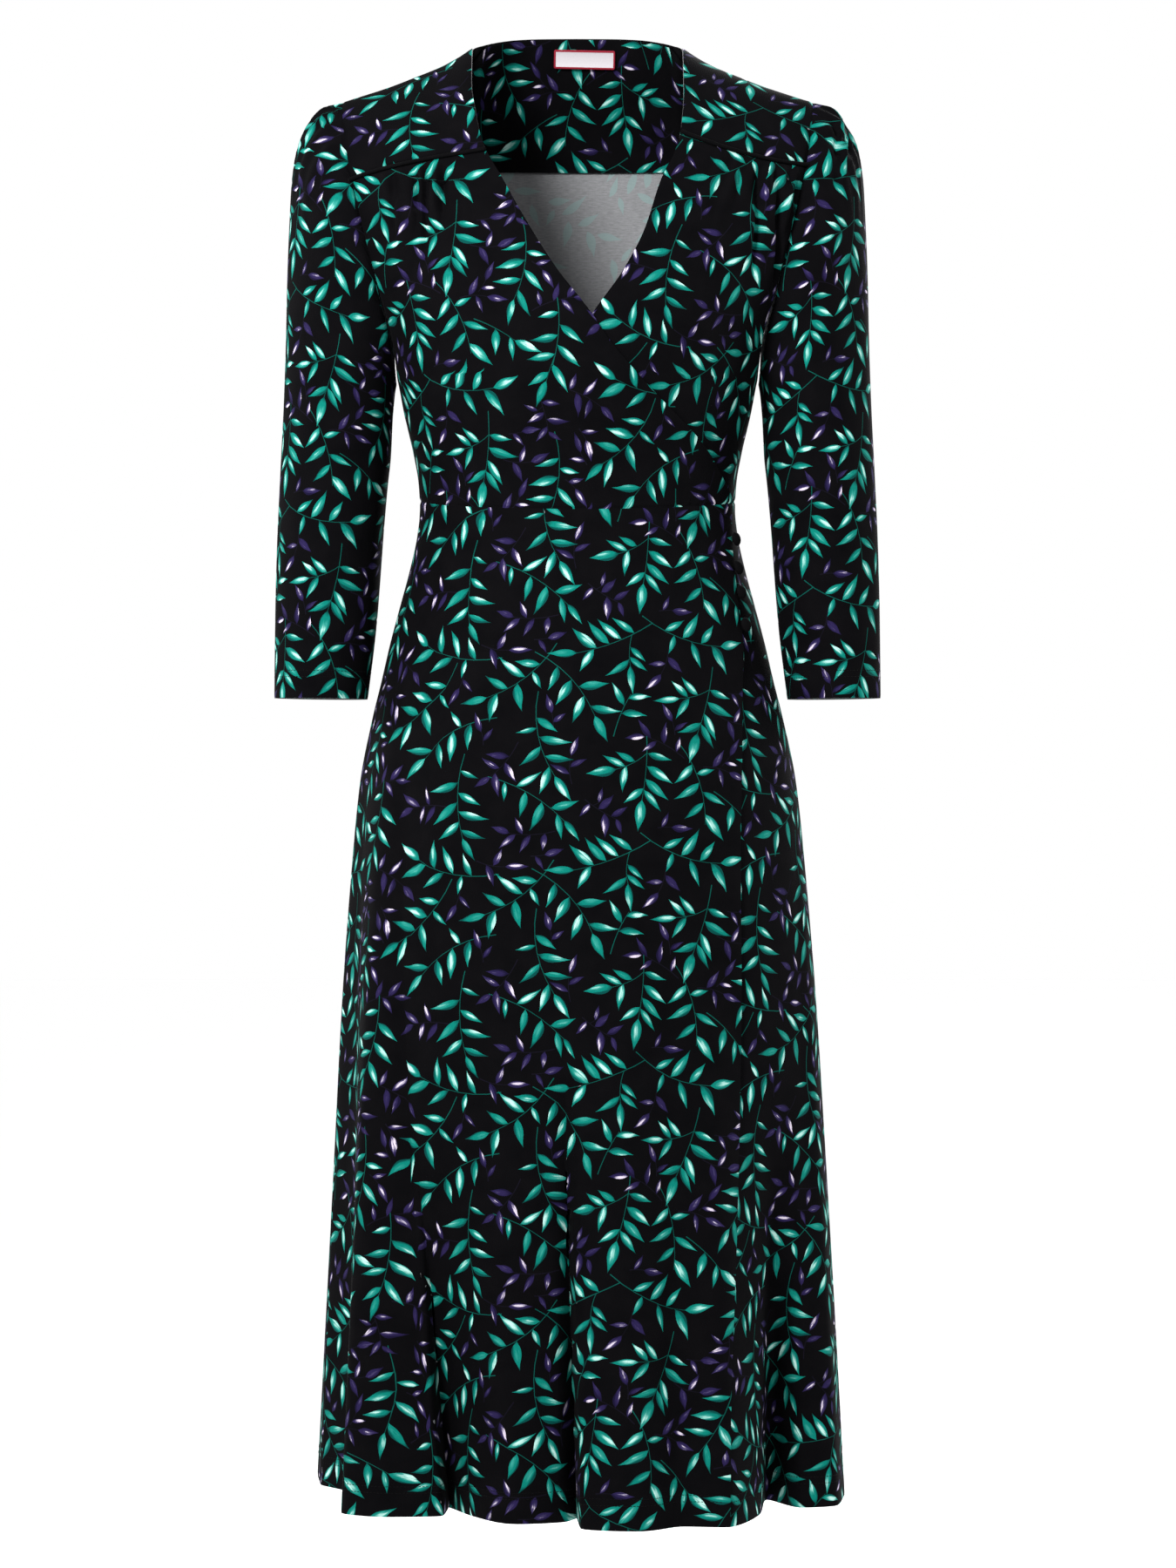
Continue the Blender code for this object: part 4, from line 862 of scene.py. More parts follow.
def grow(growth, sprig, centre, heading, flip, dice):
    """Shapes of a sprig set down on the cloth: its stems, and each leaf with the discs it covers."""
    main = route, turns = stem_route(np.zeros(2), 0.0, sprig[0].length, sprig[0].bend)
    middle = route[STEM_PARTS // 2 + 1].copy()
    mirror = np.array((float(flip), 1.0))
    stems, leaves = [], []

    def moved(points):
        return rotate((points - middle) * mirror, heading) + centre

    def set_down(shape):
        return shape._replace(outline=moved(shape.outline), base=moved(shape.base),
                              way=rotate(shape.way * mirror, heading))

    for number, twig in enumerate(sprig):
        if number:
            start, way = on_stem(*main, twig.at)
            route, turns = stem_route(start, way + math.radians(twig.angle), twig.length, twig.bend)
        stem = ribbon(growth.kind, route, turns, TWIG_TAPER if number else STEM_TAPER)
        stems.append((set_down(stem), moved(route[1:])))
        for leaf in twig.leaves:
            base, turn = on_stem(route, turns, leaf.at)
            turn -= math.radians(leaf.angle + dice.uniform(-7.0, 7.0)) * (leaf.side or 1)
            hook = -LEAF_HOOK * leaf.side + dice.uniform(-0.17, 0.17)
            slim = growth.slim * dice.uniform(0.84, 1.12)
            length = leaf.length * dice.uniform(0.92, 1.06)
            tone = dice.uniform()
            blade, stalk, spine, radii = leaf_shapes(growth.kind, base, turn, length, slim, hook, tone)
            leaves.append((set_down(blade), set_down(stalk), moved(spine), radii))
    return stems, leaves


def discs_apart(leaf, other):
    """Whether two leaves of one sprig keep clear of each other."""
    apart = leaf[2][:, None] - other[2][None]
    room = (leaf[3][:, None] + other[3][None]) * SPRIG_CLOSENESS
    return bool(np.all(np.hypot(apart[..., 0], apart[..., 1]) > room))


def make_tile():
    """One repeat of the print, filled sprig by sprig wherever the next one still fits between the others."""
    dice = np.random.RandomState(41)
    shapes, spots, sizes = [], np.zeros((0, 2)), np.zeros(0)
    count = {"teal": 0, "purple": 0}

    def fits(discs, radii):
        apart = discs[:, None] - spots[None]
        apart -= np.round(apart / TILE) * TILE
        return bool(np.all(np.hypot(apart[..., 0], apart[..., 1]) > radii[:, None] + sizes[None]))

    def stem_radii(route):
        return np.full(len(route), STEM_ROOM)

    for growth in GROWTHS:
        for attempt in range(growth.attempts):
            if count[growth.kind] >= growth.leaves:
                break
            sprig = growth.sprigs[dice.randint(len(growth.sprigs))]
            centre = dice.uniform(0.0, 1.0, 2) * TILE
            heading = math.radians(growth.turn + dice.uniform(-1.0, 1.0) * growth.spread)
            stems, leaves = grow(growth, sprig, centre, heading, dice.choice((-1, 1)), dice)
            if growth.kind == "teal" and not all(fits(route, stem_radii(route)) for _, route in stems):
                continue
            free = []
            for leaf in leaves:
                if all(discs_apart(leaf, other) for other in free) and fits(leaf[2], leaf[3]):
                    free.append(leaf)
            if len(free) < growth.share * len(leaves):
                continue
            shapes += [stem for stem, route in stems]
            shapes += [part for leaf in free for part in leaf[:2]]
            spots = np.concatenate([spots] + [leaf[2] for leaf in free] + [route for stem, route in stems])
            sizes = np.concatenate([sizes] + [leaf[3] for leaf in free]
                                   + [stem_radii(route) for stem, route in stems])
            count[growth.kind] += len(free)
    return shapes


PRINT_TILE = make_tile()
ON_TOP = ("teal", "purple", "teal_stem", "purple_stem", "ground")   # which shows where two lie together


def inside(points, outline):
    """Which points lie inside a closed outline."""
    found = np.zeros(len(points), dtype=bool)
    for (ax, ay), (bx, by) in zip(outline, np.roll(outline, -1, axis=0)):
        crosses = (ay > points[:, 1]) != (by > points[:, 1])
        if crosses.any():
            found ^= crosses & (points[:, 0] < ax + (points[:, 1] - ay) / (by - ay) * (bx - ax))
    return found


def print_on(panel, offset):
    """The print's shapes that fall on a panel."""
    corners = panel.cloth.reshape(-1, 2)
    low, high = corners.min(axis=0), corners.max(axis=0)
    first = np.floor((low - offset) / TILE).astype(int) - 1
    last = np.ceil((high - offset) / TILE).astype(int) + 1
    near = []
    for a in range(first[0], last[0] + 1):
        for b in range(first[1], last[1] + 1):
            for shape in PRINT_TILE:
                move = offset + TILE * (a, b)
                outline = shape.outline + move
                if (outline.max(axis=0) > low).all() and (outline.min(axis=0) < high).all():
                    outline = outline if signed_area(outline) > 0.0 else outline[::-1]
                    near.append(shape._replace(outline=outline, base=shape.base + move))
    owner = np.concatenate([np.full(len(shape.outline), n) for n, shape in enumerate(near)])
    tips = np.concatenate([shape.outline for shape in near])
    touched = set(owner[inside(tips, corners[panel.ring()])].tolist())
    return [shape for n, shape in enumerate(near) if n in touched]


# --- Materials ---
KNIT_PITCH = 0.0009         # from one wale of the jersey to the next
KNIT_RELIEF = 0.00006
REVERSE_RELIEF = 0.00009
WAVE_BANDS = 20.0           # how Blender's wave texture counts its bands


def node(tree, kind, inputs=None, **settings):
    """Adds a shader node; inputs are values or (node, output) pairs, by the socket's name or number."""
    made = tree.nodes.new(kind)
    for name, value in settings.items():
        setattr(made, name, value)
    for socket, value in (inputs or {}).items():
        if isinstance(value, tuple) and isinstance(value[0], bpy.types.Node):
            tree.links.new(value[0].outputs[value[1]], made.inputs[socket])
        else:
            made.inputs[socket].default_value = value
    return made


def math_node(tree, operation, *values, clamp=False):
    """Output of a math node on values, each a number or another node's output."""
    return node(tree, "ShaderNodeMath", dict(enumerate(values)), operation=operation, use_clamp=clamp), 0


def noise(tree, place, scale, detail, **settings):
    inputs = {"Vector": place, "Scale": scale, "Detail": detail} | settings
    return node(tree, "ShaderNodeTexNoise", inputs), 0


def mix_colour(tree, share, a, b):
    """Mixes two colours, each of three numbers or another node's output."""
    a, b = (value if isinstance(value[0], bpy.types.Node) else (*value, 1.0) for value in (a, b))
    return node(tree, "ShaderNodeMix", {6: a, 7: b, 0: share}, data_type="RGBA"), 2


def new_material(name, roughness, specular, sheen=0.0):
    material = bpy.data.materials.new(name)
    material.use_nodes = True
    shader = material.node_tree.nodes["Principled BSDF"]
    shader.inputs["Roughness"].default_value = roughness
    shader.inputs["Specular IOR Level"].default_value = specular
    shader.inputs["Sheen Weight"].default_value = sheen
    shader.inputs["Sheen Roughness"].default_value = 0.4
    return material, material.node_tree, shader


def set_colour(tree, shader, colour):
    tree.links.new(colour[0].outputs[colour[1]], shader.inputs["Base Color"])


def set_bump(tree, shader, height, distance, strength):
    bump = node(tree, "ShaderNodeBump", {"Height": height, "Distance": distance, "Strength": strength})
    tree.links.new(bump.outputs[0], shader.inputs["Normal"])


def add_knit(tree, shader, relief=KNIT_RELIEF):
    """Fine columns of knit stitches and a soft unevenness, as bump along the flat cut."""
    cut = node(tree, "ShaderNodeUVMap", uv_map="cut"), 0
    wales = node(tree, "ShaderNodeTexWave", {
        "Vector": cut, "Scale": 1.0 / (KNIT_PITCH * WAVE_BANDS) * math.pi, "Distortion": 1.2, "Detail": 1.0,
        "Detail Scale": 2.0}, wave_type="BANDS", bands_direction="X")
    height = math_node(tree, "MULTIPLY_ADD", (wales, 1), 0.6, noise(tree, cut, 260.0, 3.0))
    set_bump(tree, shader, height, relief, 0.8)
    return cut


def jersey_material(name, dark, light, sheen=0.004):
    """Plain jersey, a little uneven in its dye."""
    material, tree, shader = new_material(name, roughness=0.85, specular=0.012, sheen=sheen)
    cloud = noise(tree, add_knit(tree, shader), 38.0, 4.0, Roughness=0.6)
    share = math_node(tree, "MULTIPLY_ADD", cloud, 1.6, -0.3, clamp=True)
    set_colour(tree, shader, mix_colour(tree, share, dark, light))
    return material


def leaf_material(name, edge, body, light, pale, pale_share, sharpness):
    """A painted leaf, dark towards its rim, with a soft pale patch whose place and strength its tone sets."""
    material, tree, shader = new_material(name, roughness=0.82, specular=0.03, sheen=0.01)
    add_knit(tree, shader)
    leaf = node(tree, "ShaderNodeSeparateXYZ", {0: (node(tree, "ShaderNodeUVMap", uv_map="leaf"), 0)})
    tone = node(tree, "ShaderNodeAttribute", attribute_type="GEOMETRY", attribute_name="tone"), 2
    lengthways, sideways = (leaf, 0), (leaf, 1)

    def calc(operation, *values, clamp=False):
        return math_node(tree, operation, *values, clamp=clamp)

    def past(value, start, rate):
        """How far a value is past a start, between 0 and 1."""
        return calc("MULTIPLY", calc("SUBTRACT", value, start), rate, clamp=True)

    def from_patch(place, seed, width, start, weight):
        """Distance from the middle of the pale patch, which lies elsewhere on each leaf."""
        middle = calc("MULTIPLY_ADD", calc("FRACT", calc("MULTIPLY", tone, seed)), width, start)
        return calc("MULTIPLY", calc("SUBTRACT", place, middle), weight)

    aside = from_patch(sideways, 7.3, 0.8, -0.4, 1.15)
    beyond = from_patch(lengthways, 17.9, 0.3, 0.32, 2.3)
    off_patch = calc("ADD", calc("MULTIPLY", aside, aside), calc("MULTIPLY", beyond, beyond))
    stretched = [calc("MULTIPLY", *pair) for pair in ((lengthways, 1.7), (sideways, 2.2), (tone, 57.0))]
    place = node(tree, "ShaderNodeCombineXYZ", dict(enumerate(stretched)))
    brush = noise(tree, (place, 0), 1.0, 4.0, Roughness=0.6, Distortion=0.35)
    strokes = calc("MULTIPLY", calc("SUBTRACT", brush, 0.5), sharpness)
    paleness = calc("MULTIPLY_ADD", tone, pale_share, 1.02 - pale_share)
    glow = calc("SUBTRACT", calc("ADD", paleness, strokes), off_patch)
    colour = edge
    for start, rate, lighter in ((-1.10, 1.3, body), (0.10, 1.9, light), (0.52, 2.6, pale)):
        colour = mix_colour(tree, past(glow, start, rate), colour, lighter)
    rim = past(calc("MULTIPLY", sideways, sideways), 0.50, 1.5)
    set_colour(tree, shader, mix_colour(tree, rim, colour, edge))
    return material


def reverse_material(name, tint, tint_share):
    """The jersey's grey wrong side: heathered by its white yarn, with the print showing faintly through."""
    material, tree, shader = new_material(name, roughness=0.90, specular=0.10, sheen=0.03)
    cut = add_knit(tree, shader, REVERSE_RELIEF)
    rows = node(tree, "ShaderNodeMapping", {"Vector": cut, "Scale": (0.22, 1.0, 1.0)}), 0
    fleck = noise(tree, rows, 900.0, 3.0, Roughness=0.7)
    share = math_node(tree, "MULTIPLY_ADD", fleck, 2.2, -0.6, clamp=True)
    grey = mix_colour(tree, share, (0.110, 0.111, 0.116), (0.195, 0.197, 0.204))
    cloud = math_node(tree, "MULTIPLY", noise(tree, cut, 45.0, 3.0), 0.35)
    grey = mix_colour(tree, cloud, grey, (0.125, 0.127, 0.131))
    set_colour(tree, shader, mix_colour(tree, tint_share, grey, tint))
    return material


def plain_material(name, colour, roughness, specular, noise_scale=900.0, variation=0.35):
    """A plain thread, cord or edge with a fine fibrous unevenness in colour and height."""
    material, tree, shader = new_material(name, roughness=roughness, specular=specular, sheen=0.01)
    fibre = noise(tree, (node(tree, "ShaderNodeTexCoord"), "Object"), noise_scale, 2.0)
    darker = tuple(part * (1.0 - variation) for part in colour)
    set_colour(tree, shader, mix_colour(tree, fibre, darker, colour))
    set_bump(tree, shader, fibre, 0.0001, 0.5)
    return material


GROUND = jersey_material("printed_ground", (0.0011, 0.0011, 0.0014), (0.0024, 0.0022, 0.0026))
TEAL = leaf_material("printed_teal", (0.0006, 0.036, 0.032), (0.0012, 0.112, 0.089), (0.026, 0.200, 0.168),
                     (0.300, 0.480, 0.440), 0.70, 1.8)
PURPLE = leaf_material("printed_purple", (0.0044, 0.0030, 0.0150), (0.0115, 0.0078, 0.0360),
                       (0.047, 0.038, 0.090), (0.430, 0.380, 0.450), 0.90, 2.6)
TEAL_STEM = jersey_material("printed_teal_stem", (0.0010, 0.030, 0.025), (0.0024, 0.058, 0.045))
PURPLE_STEM = jersey_material("printed_purple_stem", (0.0030, 0.0026, 0.0052), (0.0050, 0.0042, 0.0082))
REVERSE = reverse_material("reverse_grey", (0.1, 0.1, 0.1), 0.0)
REVERSE_PRINT = reverse_material("reverse_show_through", (0.140, 0.200, 0.196), 0.70)
EDGE = plain_material("turned_edge", (0.13, 0.13, 0.135), 0.8, 0.1)
PLAIN_JERSEY = jersey_material("plain_black_jersey", (0.0012, 0.0012, 0.0014), (0.0026, 0.0025, 0.0028),
                               sheen=0.01)
THREAD = plain_material("black_thread", (0.0022, 0.0022, 0.0024), 0.8, 0.05)

SLOTS = [GROUND, TEAL, PURPLE, TEAL_STEM, PURPLE_STEM, REVERSE, REVERSE_PRINT, EDGE]
SLOT_OF = {"ground": 0, "teal": 1, "purple": 2, "teal_stem": 3, "purple_stem": 4}
REVERSE_SLOT, SHOW_THROUGH_SLOT, EDGE_SLOT = 5, 6, 7


# --- Making meshes ---
def add_piece(name, mesh, replaced=()):
    piece = bpy.data.objects.new(name, mesh)
    bpy.context.scene.collection.objects.link(piece)
    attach(piece, "root")
    if replaced:
        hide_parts(*replaced)
    return piece


def mesh_from_parts(name, points, faces, materials, slots, normals=None):
    """Mesh from points, a list of face arrays (triangles or quads), materials, and a slot for each face."""
    mesh = bpy.data.meshes.new(name)
    mesh.vertices.add(len(points))
    mesh.vertices.foreach_set("co", np.ascontiguousarray(points, dtype=np.float32).ravel())
    sizes = np.concatenate([np.full(len(part), part.shape[1]) for part in faces])
    corners = np.concatenate([part.ravel() for part in faces])
    mesh.loops.add(len(corners))
    mesh.loops.foreach_set("vertex_index", corners.astype(np.int32))
    mesh.polygons.add(len(sizes))
    starts = np.cumsum(sizes) - sizes
    mesh.polygons.foreach_set("loop_start", starts.astype(np.int32))
    mesh.polygons.foreach_set("material_index", np.asarray(slots, dtype=np.int32))
    mesh.polygons.foreach_set("use_smooth", np.ones(len(sizes), dtype=bool))
    for material in materials:
        mesh.materials.append(material)
    mesh.update(calc_edges=True)
    if normals is not None:
        mesh.normals_split_custom_set(normals.tolist())
    return mesh


def add_corner_map(mesh, name, values):
    layer = mesh.uv_layers.new(name=name)
    layer.data.foreach_set("uv", np.ascontiguousarray(values, dtype=np.float32).ravel())


def ring_quads(count, sides):
    """Faces between rings of points that follow each other."""
    start = np.arange(count - 1)[:, None] * sides
    around = np.arange(sides)
    after = (around + 1) % sides
    quads = (start + around, start + after, start + sides + after, start + sides + around)
    return np.stack(quads, axis=2).reshape(-1, 4)


def round_mesh(name, rings, ends, cut, backward=False):
    """Closed mesh in plain jersey: rings of points that follow each other, and the two ends' middles."""
    count, sides = rings.shape[:2]
    around = np.arange(sides)
    after = (around + 1) % sides
    first, top = count * sides, (count - 1) * sides
    caps = np.concatenate((column_stack(first, after, around),
                           column_stack(first + 1, top + around, top + after)))
    faces = [ring_quads(count, sides), caps]
    if backward:
        # The first corner stays first, because it decides how a face is split into triangles.
        faces = [np.roll(part[:, ::-1], 1, axis=1) for part in faces]
    points = np.concatenate((rings.reshape(-1, 3), ends))
    mesh = mesh_from_parts(name, points, faces, [PLAIN_JERSEY], np.zeros(sum(map(len, faces))))
    add_corner_map(mesh, "cut", cut[np.concatenate([part.ravel() for part in faces])])
    return mesh


def triangulate(spots, outlines):
    """Blender's divided triangles inside the first outline, cut along the others."""
    found = delaunay_2d_cdt([Vector(spot) for spot in spots.tolist()], [], outlines, 1, 1e-7, True)
    kept = [n for n, owners in enumerate(found[5]) if 0 in owners]
    triangles = np.array([found[2][n] for n in kept], dtype=int)
    return np.array([tuple(spot) for spot in found[0]]), found[3], triangles, [found[5][n] for n in kept]


def divide_cut(panel, shapes):
    """Divides a panel's flat cut along the outlines of shapes, the first of which is the bare ground.

    Gives the corners, the grid point under each or -1, the triangles, and the shape that each shows.
    """
    corners = panel.cloth.reshape(-1, 2)
    parts = [corners] + [shape.outline for shape in shapes[1:]]
    ends = np.cumsum([len(part) for part in parts]).tolist()
    outlines = [panel.ring().tolist()] + [list(range(*pair)) for pair in zip(ends, ends[1:])]
    flat, sources, triangles, owners = triangulate(np.concatenate(parts), outlines)
    rank = [(ON_TOP.index(shape.kind), n) for n, shape in enumerate(shapes)]
    chosen = np.array([min(rank[owner] for owner in group)[1] for group in owners])
    from_grid = np.array([next((n for n in group if n < len(corners)), -1) for group in sources])
    used, triangles = np.unique(triangles, return_inverse=True)
    return flat[used], from_grid[used], triangles.reshape(-1, 3), chosen


def border_of(triangles, count):
    """Edges on the outside of the triangles, in their direction."""
    sides = np.concatenate((triangles[:, (0, 1)], triangles[:, (1, 2)], triangles[:, (2, 0)]))
    keys = np.sort(sides, axis=1) @ np.array((count, 1))
    _, first, counts = np.unique(keys, return_index=True, return_counts=True)
    return sides[first[counts == 1]]


def plain_back(flat, from_grid, border):
    """Corners and triangles of a coarser wrong side, which ends along the same border."""
    following = dict(border.tolist())
    loop = [int(border[0, 0])]
    while following[loop[-1]] != loop[0]:
        loop.append(following[loop[-1]])
    corners = np.concatenate((loop, np.setdiff1d(np.flatnonzero(from_grid >= 0), loop)))
    _, sources, triangles, _ = triangulate(flat[corners], [list(range(len(loop)))])
    return corners[[group[0] for group in sources]], triangles


def add_print_maps(mesh, shapes, spots, shown, rims):
    """Where each corner lies on its leaf, along and across it, and the leaf's tone on each face."""
    bases, ways, lengths, halves, tones = (np.array([getattr(shape, fact) for shape in shapes])
                                           for fact in ("base", "way", "length", "half", "tone"))
    leaf_of = np.repeat(shown, 3)
    spot = spots[:len(leaf_of)] - bases[leaf_of]
    way = ways[leaf_of]
    leaf_map = np.zeros((len(spots), 2))
    leaf_map[:len(leaf_of), 0] = np.sum(spot * way, axis=1) / lengths[leaf_of]
    leaf_map[:len(leaf_of), 1] = flat_cross(spot, way) / halves[leaf_of]
    add_corner_map(mesh, "leaf", leaf_map)
    values = np.concatenate((tones[shown], np.full(rims, BARE.tone)))
    mesh.attributes.new("tone", "FLOAT", "FACE").data.foreach_set("value", values.astype(np.float32))


NEAR_EDGE = 0.02            # of a grid step
# Above the facing's lower edge the back's grey wrong side is painted black, as painted shade behind the
# facing.
NEAR_FACING = 0.004         # above the facing's lower edge, where the black wrong side starts


def add_cloth(name, panel, offset, replaced, depth=0.0, lining=False, through=False,
              light_edge=False):
    """Closed cloth of a panel with the print in its faces.

    depth moves it in from the outer face. A lining has the print on its inner face. Where through is set,
    the print shows faintly on the wrong side, and where it is "below facing", the wrong side above the
    facing's lower edge is painted black like the ground, as painted shade in the space behind the facing.
    A light edge is the turned rim of the panel's right side.
    """
    columns = panel.size[1]
    shapes = [BARE] + print_on(panel, np.array(offset))
    flat, from_grid, triangles, chosen = divide_cut(panel, shapes)
    count = len(flat)
    j, i = (from_grid // columns).astype(float), (from_grid % columns).astype(float)
    loose = from_grid < 0
    j[loose], i[loose] = panel.find(flat[loose])
    outer, normal = panel.face(j, i)
    outer = outer - normal * depth

    border = border_of(triangles, count)
    if lining or through:
        behind, back_triangles, shown_behind = np.arange(count), triangles, chosen
    else:
        behind, back_triangles = plain_back(flat, from_grid, border)
        shown_behind = np.zeros(len(back_triangles), dtype=int)
    place_behind = np.full(count, -1)
    place_behind[behind] = np.arange(len(behind)) + count
    inner = outer[behind] - normal[behind] * CLOTH
    rims = np.concatenate((border[:, ::-1], place_behind[border]), axis=1)
    turned = back_triangles[:, ::-1] + count

    kinds = np.array([SLOT_OF[shape.kind] for shape in shapes])
    outer_slots, inner_slots = kinds[chosen], kinds[shown_behind]
    if lining:
        outer_slots = np.where(outer_slots == SLOT_OF["teal"], SHOW_THROUGH_SLOT, REVERSE_SLOT)
    else:
        inner_slots = np.where(inner_slots == SLOT_OF["teal"], SHOW_THROUGH_SLOT, REVERSE_SLOT)
    # Painted shade: above the facing's lower edge the back's wrong side is given the black ground's colour
    # instead of grey.
    if through == "below facing":
        above = outer[triangles, 2].mean(axis=1) > FACING_BOTTOM + NEAR_FACING
        inner_slots = np.where(above, SLOT_OF["ground"], inner_slots)
    at_right = i[border].mean(axis=1) > columns - 1 - NEAR_EDGE
    rim_slots = np.where(at_right & light_edge, EDGE_SLOT, SLOT_OF["ground"])

    points = np.concatenate((outer, inner))
    rim_normal = np.cross(points[rims[:, 1]] - points[rims[:, 0]], points[rims[:, 3]] - points[rims[:, 0]])
    rim_normal /= np.maximum(np.linalg.norm(rim_normal, axis=1, keepdims=True), 1e-12)
    source = np.concatenate((np.arange(count), behind))
    normals = np.concatenate((normal[triangles.ravel()], -normal[source[turned.ravel()]],
                              np.repeat(rim_normal, 4, axis=0)))
    mesh = mesh_from_parts(name, points, [triangles, turned, rims], SLOTS,
                           np.concatenate((outer_slots, inner_slots, rim_slots)), normals)
    spots = flat[source[np.concatenate((triangles.ravel(), turned.ravel(), rims.ravel()))]]
    add_corner_map(mesh, "cut", spots)
    add_print_maps(mesh, shapes, spots, np.concatenate((chosen, shown_behind)), len(rims))
    piece = add_piece(name, mesh, replaced)
    size, area = panel.cut_size()


# --- The panels ---
def armhole_heights(start, end):
    """Heights down an armhole, closer where it turns."""
    steps = max(4, round(1.5 * (start - end) / GRID_STEP))
    return armhole_height(spread(armhole_turn(start), armhole_turn(end), steps))


def side_heights(start):
    """Heights down an armhole from a start, and then down the side seam."""
    below = spread(UNDERARM, WAIST_SIDE, round((UNDERARM - WAIST_SIDE) / GRID_STEP))
    return np.concatenate((armhole_heights(start, UNDERARM), below[1:]))


def shares_of(values):
    return (values - values[0]) / (values[-1] - values[0])


def neck_side(edge_at, heights):
    return column_stack(angle_of(edge_at(heights), heights), heights)


def front_panel(seam, edge_at, gathers, is_left):
    """Front bodice from just below the yoke seam to the waist."""
    high = seam.at_armhole - HALF_PIPING_ROOM
    heights, close = side_heights(high), high - GATHER_ROWS
    heights = np.concatenate((close, heights[heights < close[-1] - 0.001]))
    heights = with_edge_lines(heights, high - WAIST_SIDE)
    before = spread(0.0, gathers.start, max(3, round(gathers.start * FRONT_COLUMNS)))[:-1]
    gathered = gathers.end - gathers.start
    fine = spread(gathers.start, gathers.end, round(gathered * FRONT_WIDTH / GATHER_STEP))
    after = spread(gathers.end, 1.0, round((1.0 - gathers.end) * FRONT_COLUMNS))[1:]
    columns = with_edge_lines(np.concatenate((before, fine, after)), FRONT_WIDTH)
    left = column_stack(armhole_angle(heights), heights)
    waist_end = float(angle_of(edge_at(WAIST_SIDE), WAIST_SIDE))
    neck_high = seam.at_neck - HALF_PIPING_ROOM
    right = neck_side(edge_at, blend(neck_high, waist_height(waist_end), shares_of(heights)))
    top, bottom = blend(left[0, 0], right[0, 0], columns), blend(left[-1, 0], right[-1, 0], columns)
    top = column_stack(top, yoke_seam_height(seam, top) - HALF_PIPING_ROOM)
    bottom = column_stack(bottom, waist_height(bottom))

    def lift(along, down, share, below):
        folds = gather_lift(gathers, share, below)
        return folds if is_left else folds + overlap_lift(along / math.pi, down)

    return Panel(body_point, patch(top, bottom, left, right), columns, lift,
                 Roll(top=PIPED_ROLL, right=FREE_ROLL), tucks=("left",), mirrored=is_left, reference=0.3)


def shoulder_distances(steps):
    shoulder_point = float(half_width_at(ARMHOLE_TOP)) * math.cos(ARMHOLE_ANGLE)
    return spread(shoulder_point, NECK_HALF_WIDTH, steps)


def yoke_panel(seam, edge_at, is_left):
    """Yoke from the shoulder seam to just above the yoke seam."""
    low = seam.at_armhole + HALF_PIPING_ROOM
    heights = with_edge_lines(armhole_height(spread(math.pi, armhole_turn(low), 14)), ARMHOLE_TOP - low)
    left = column_stack(armhole_angle(heights), heights)
    shares = (heights - ARMHOLE_TOP) / (low - ARMHOLE_TOP)
    neck_top = float(rim_z_at(NECK_HALF_WIDTH))
    right = neck_side(edge_at, blend(neck_top, seam.at_neck + HALF_PIPING_ROOM, shares))
    distances = with_edge_lines(shoulder_distances(18), SHOULDER_WIDTH)
    top = column_stack(angle_of(-distances, rim_z_at(distances)), rim_z_at(distances))
    angles = blend(left[-1, 0], right[-1, 0], shares_of(distances))
    bottom = column_stack(angles, yoke_seam_height(seam, angles) + HALF_PIPING_ROOM)
    return Panel(body_point, patch(top, bottom, left, right), shares_of(distances), None,
                 Roll(bottom=PIPED_ROLL, right=FREE_ROLL), tucks=("left",), mirrored=is_left)


def back_places():
    """Back bodice in one piece, from the neck rim and shoulder seams to the waist."""
    heights = with_edge_lines(side_heights(ARMHOLE_TOP), ARMHOLE_TOP - WAIST_SIDE)
    left = column_stack(math.pi + armhole_angle(heights), heights)
    right = column_stack(2.0 * math.pi - armhole_angle(heights), heights)
    outer = with_edge_lines(shoulder_distances(16), SHOULDER_WIDTH, at_end=False)
    neck = NECK_HALF_WIDTH * np.cos(spread(0.0, math.pi, 32))[1:-1]
    across = np.concatenate((outer, neck, -outer[::-1]))
    rim = rim_z_at(np.abs(across))
    top = column_stack(angle_of(across, rim, in_front=False), rim)
    top[0], top[-1] = left[0], right[0]
    shares = shares_of(top[:, 0])
    bottom = column_stack(blend(left[-1, 0], right[-1, 0], shares), WAIST_SIDE)
    return patch(top, bottom, left, right), shares, across


def facing_panel():
    """Facing inside the back neck, its right side to the wearer and its lower edge straight."""
    places, shares, across = back_places()
    reach = float(shoulder_distances(SHOULDER_STEPS)[1])
    first, last = np.interp((-reach, reach), -across, np.arange(len(across)))
    columns = with_edge_lines(spread(first, last, 52), 2.0 * reach)
    facing_rows = with_edge_lines(spread(0.0, 1.0, 20), FACING_LENGTH)
    rows = np.arange(float(len(places)))
    grid = []
    for column in columns:
        way_down = read_grid(places, rows, np.full_like(rows, column))
        from_middle = abs(body_point(way_down[:1, 0], way_down[:1, 1])[0, 0])
        off_neck = smooth_step((from_middle - FACING_NECK_END) / FACING_NECK_EASE)
        heights = way_down[:, 1]
        below = blend(FACING_BELOW_NECK_RIM, FACING_BELOW_SHOULDER, off_neck)
        ends = np.interp((-heights[0] + below, -FACING_BOTTOM), -heights, rows)
        j = blend(ends[0], ends[1], facing_rows)
        grid.append(read_grid(places, j, np.full_like(j, column)))
    shares = (columns - first) / (last - first)
    return Panel(body_point, np.stack(grid, axis=1), shares, roll=Roll(0.0, 0.0, 0.0, 0.0))


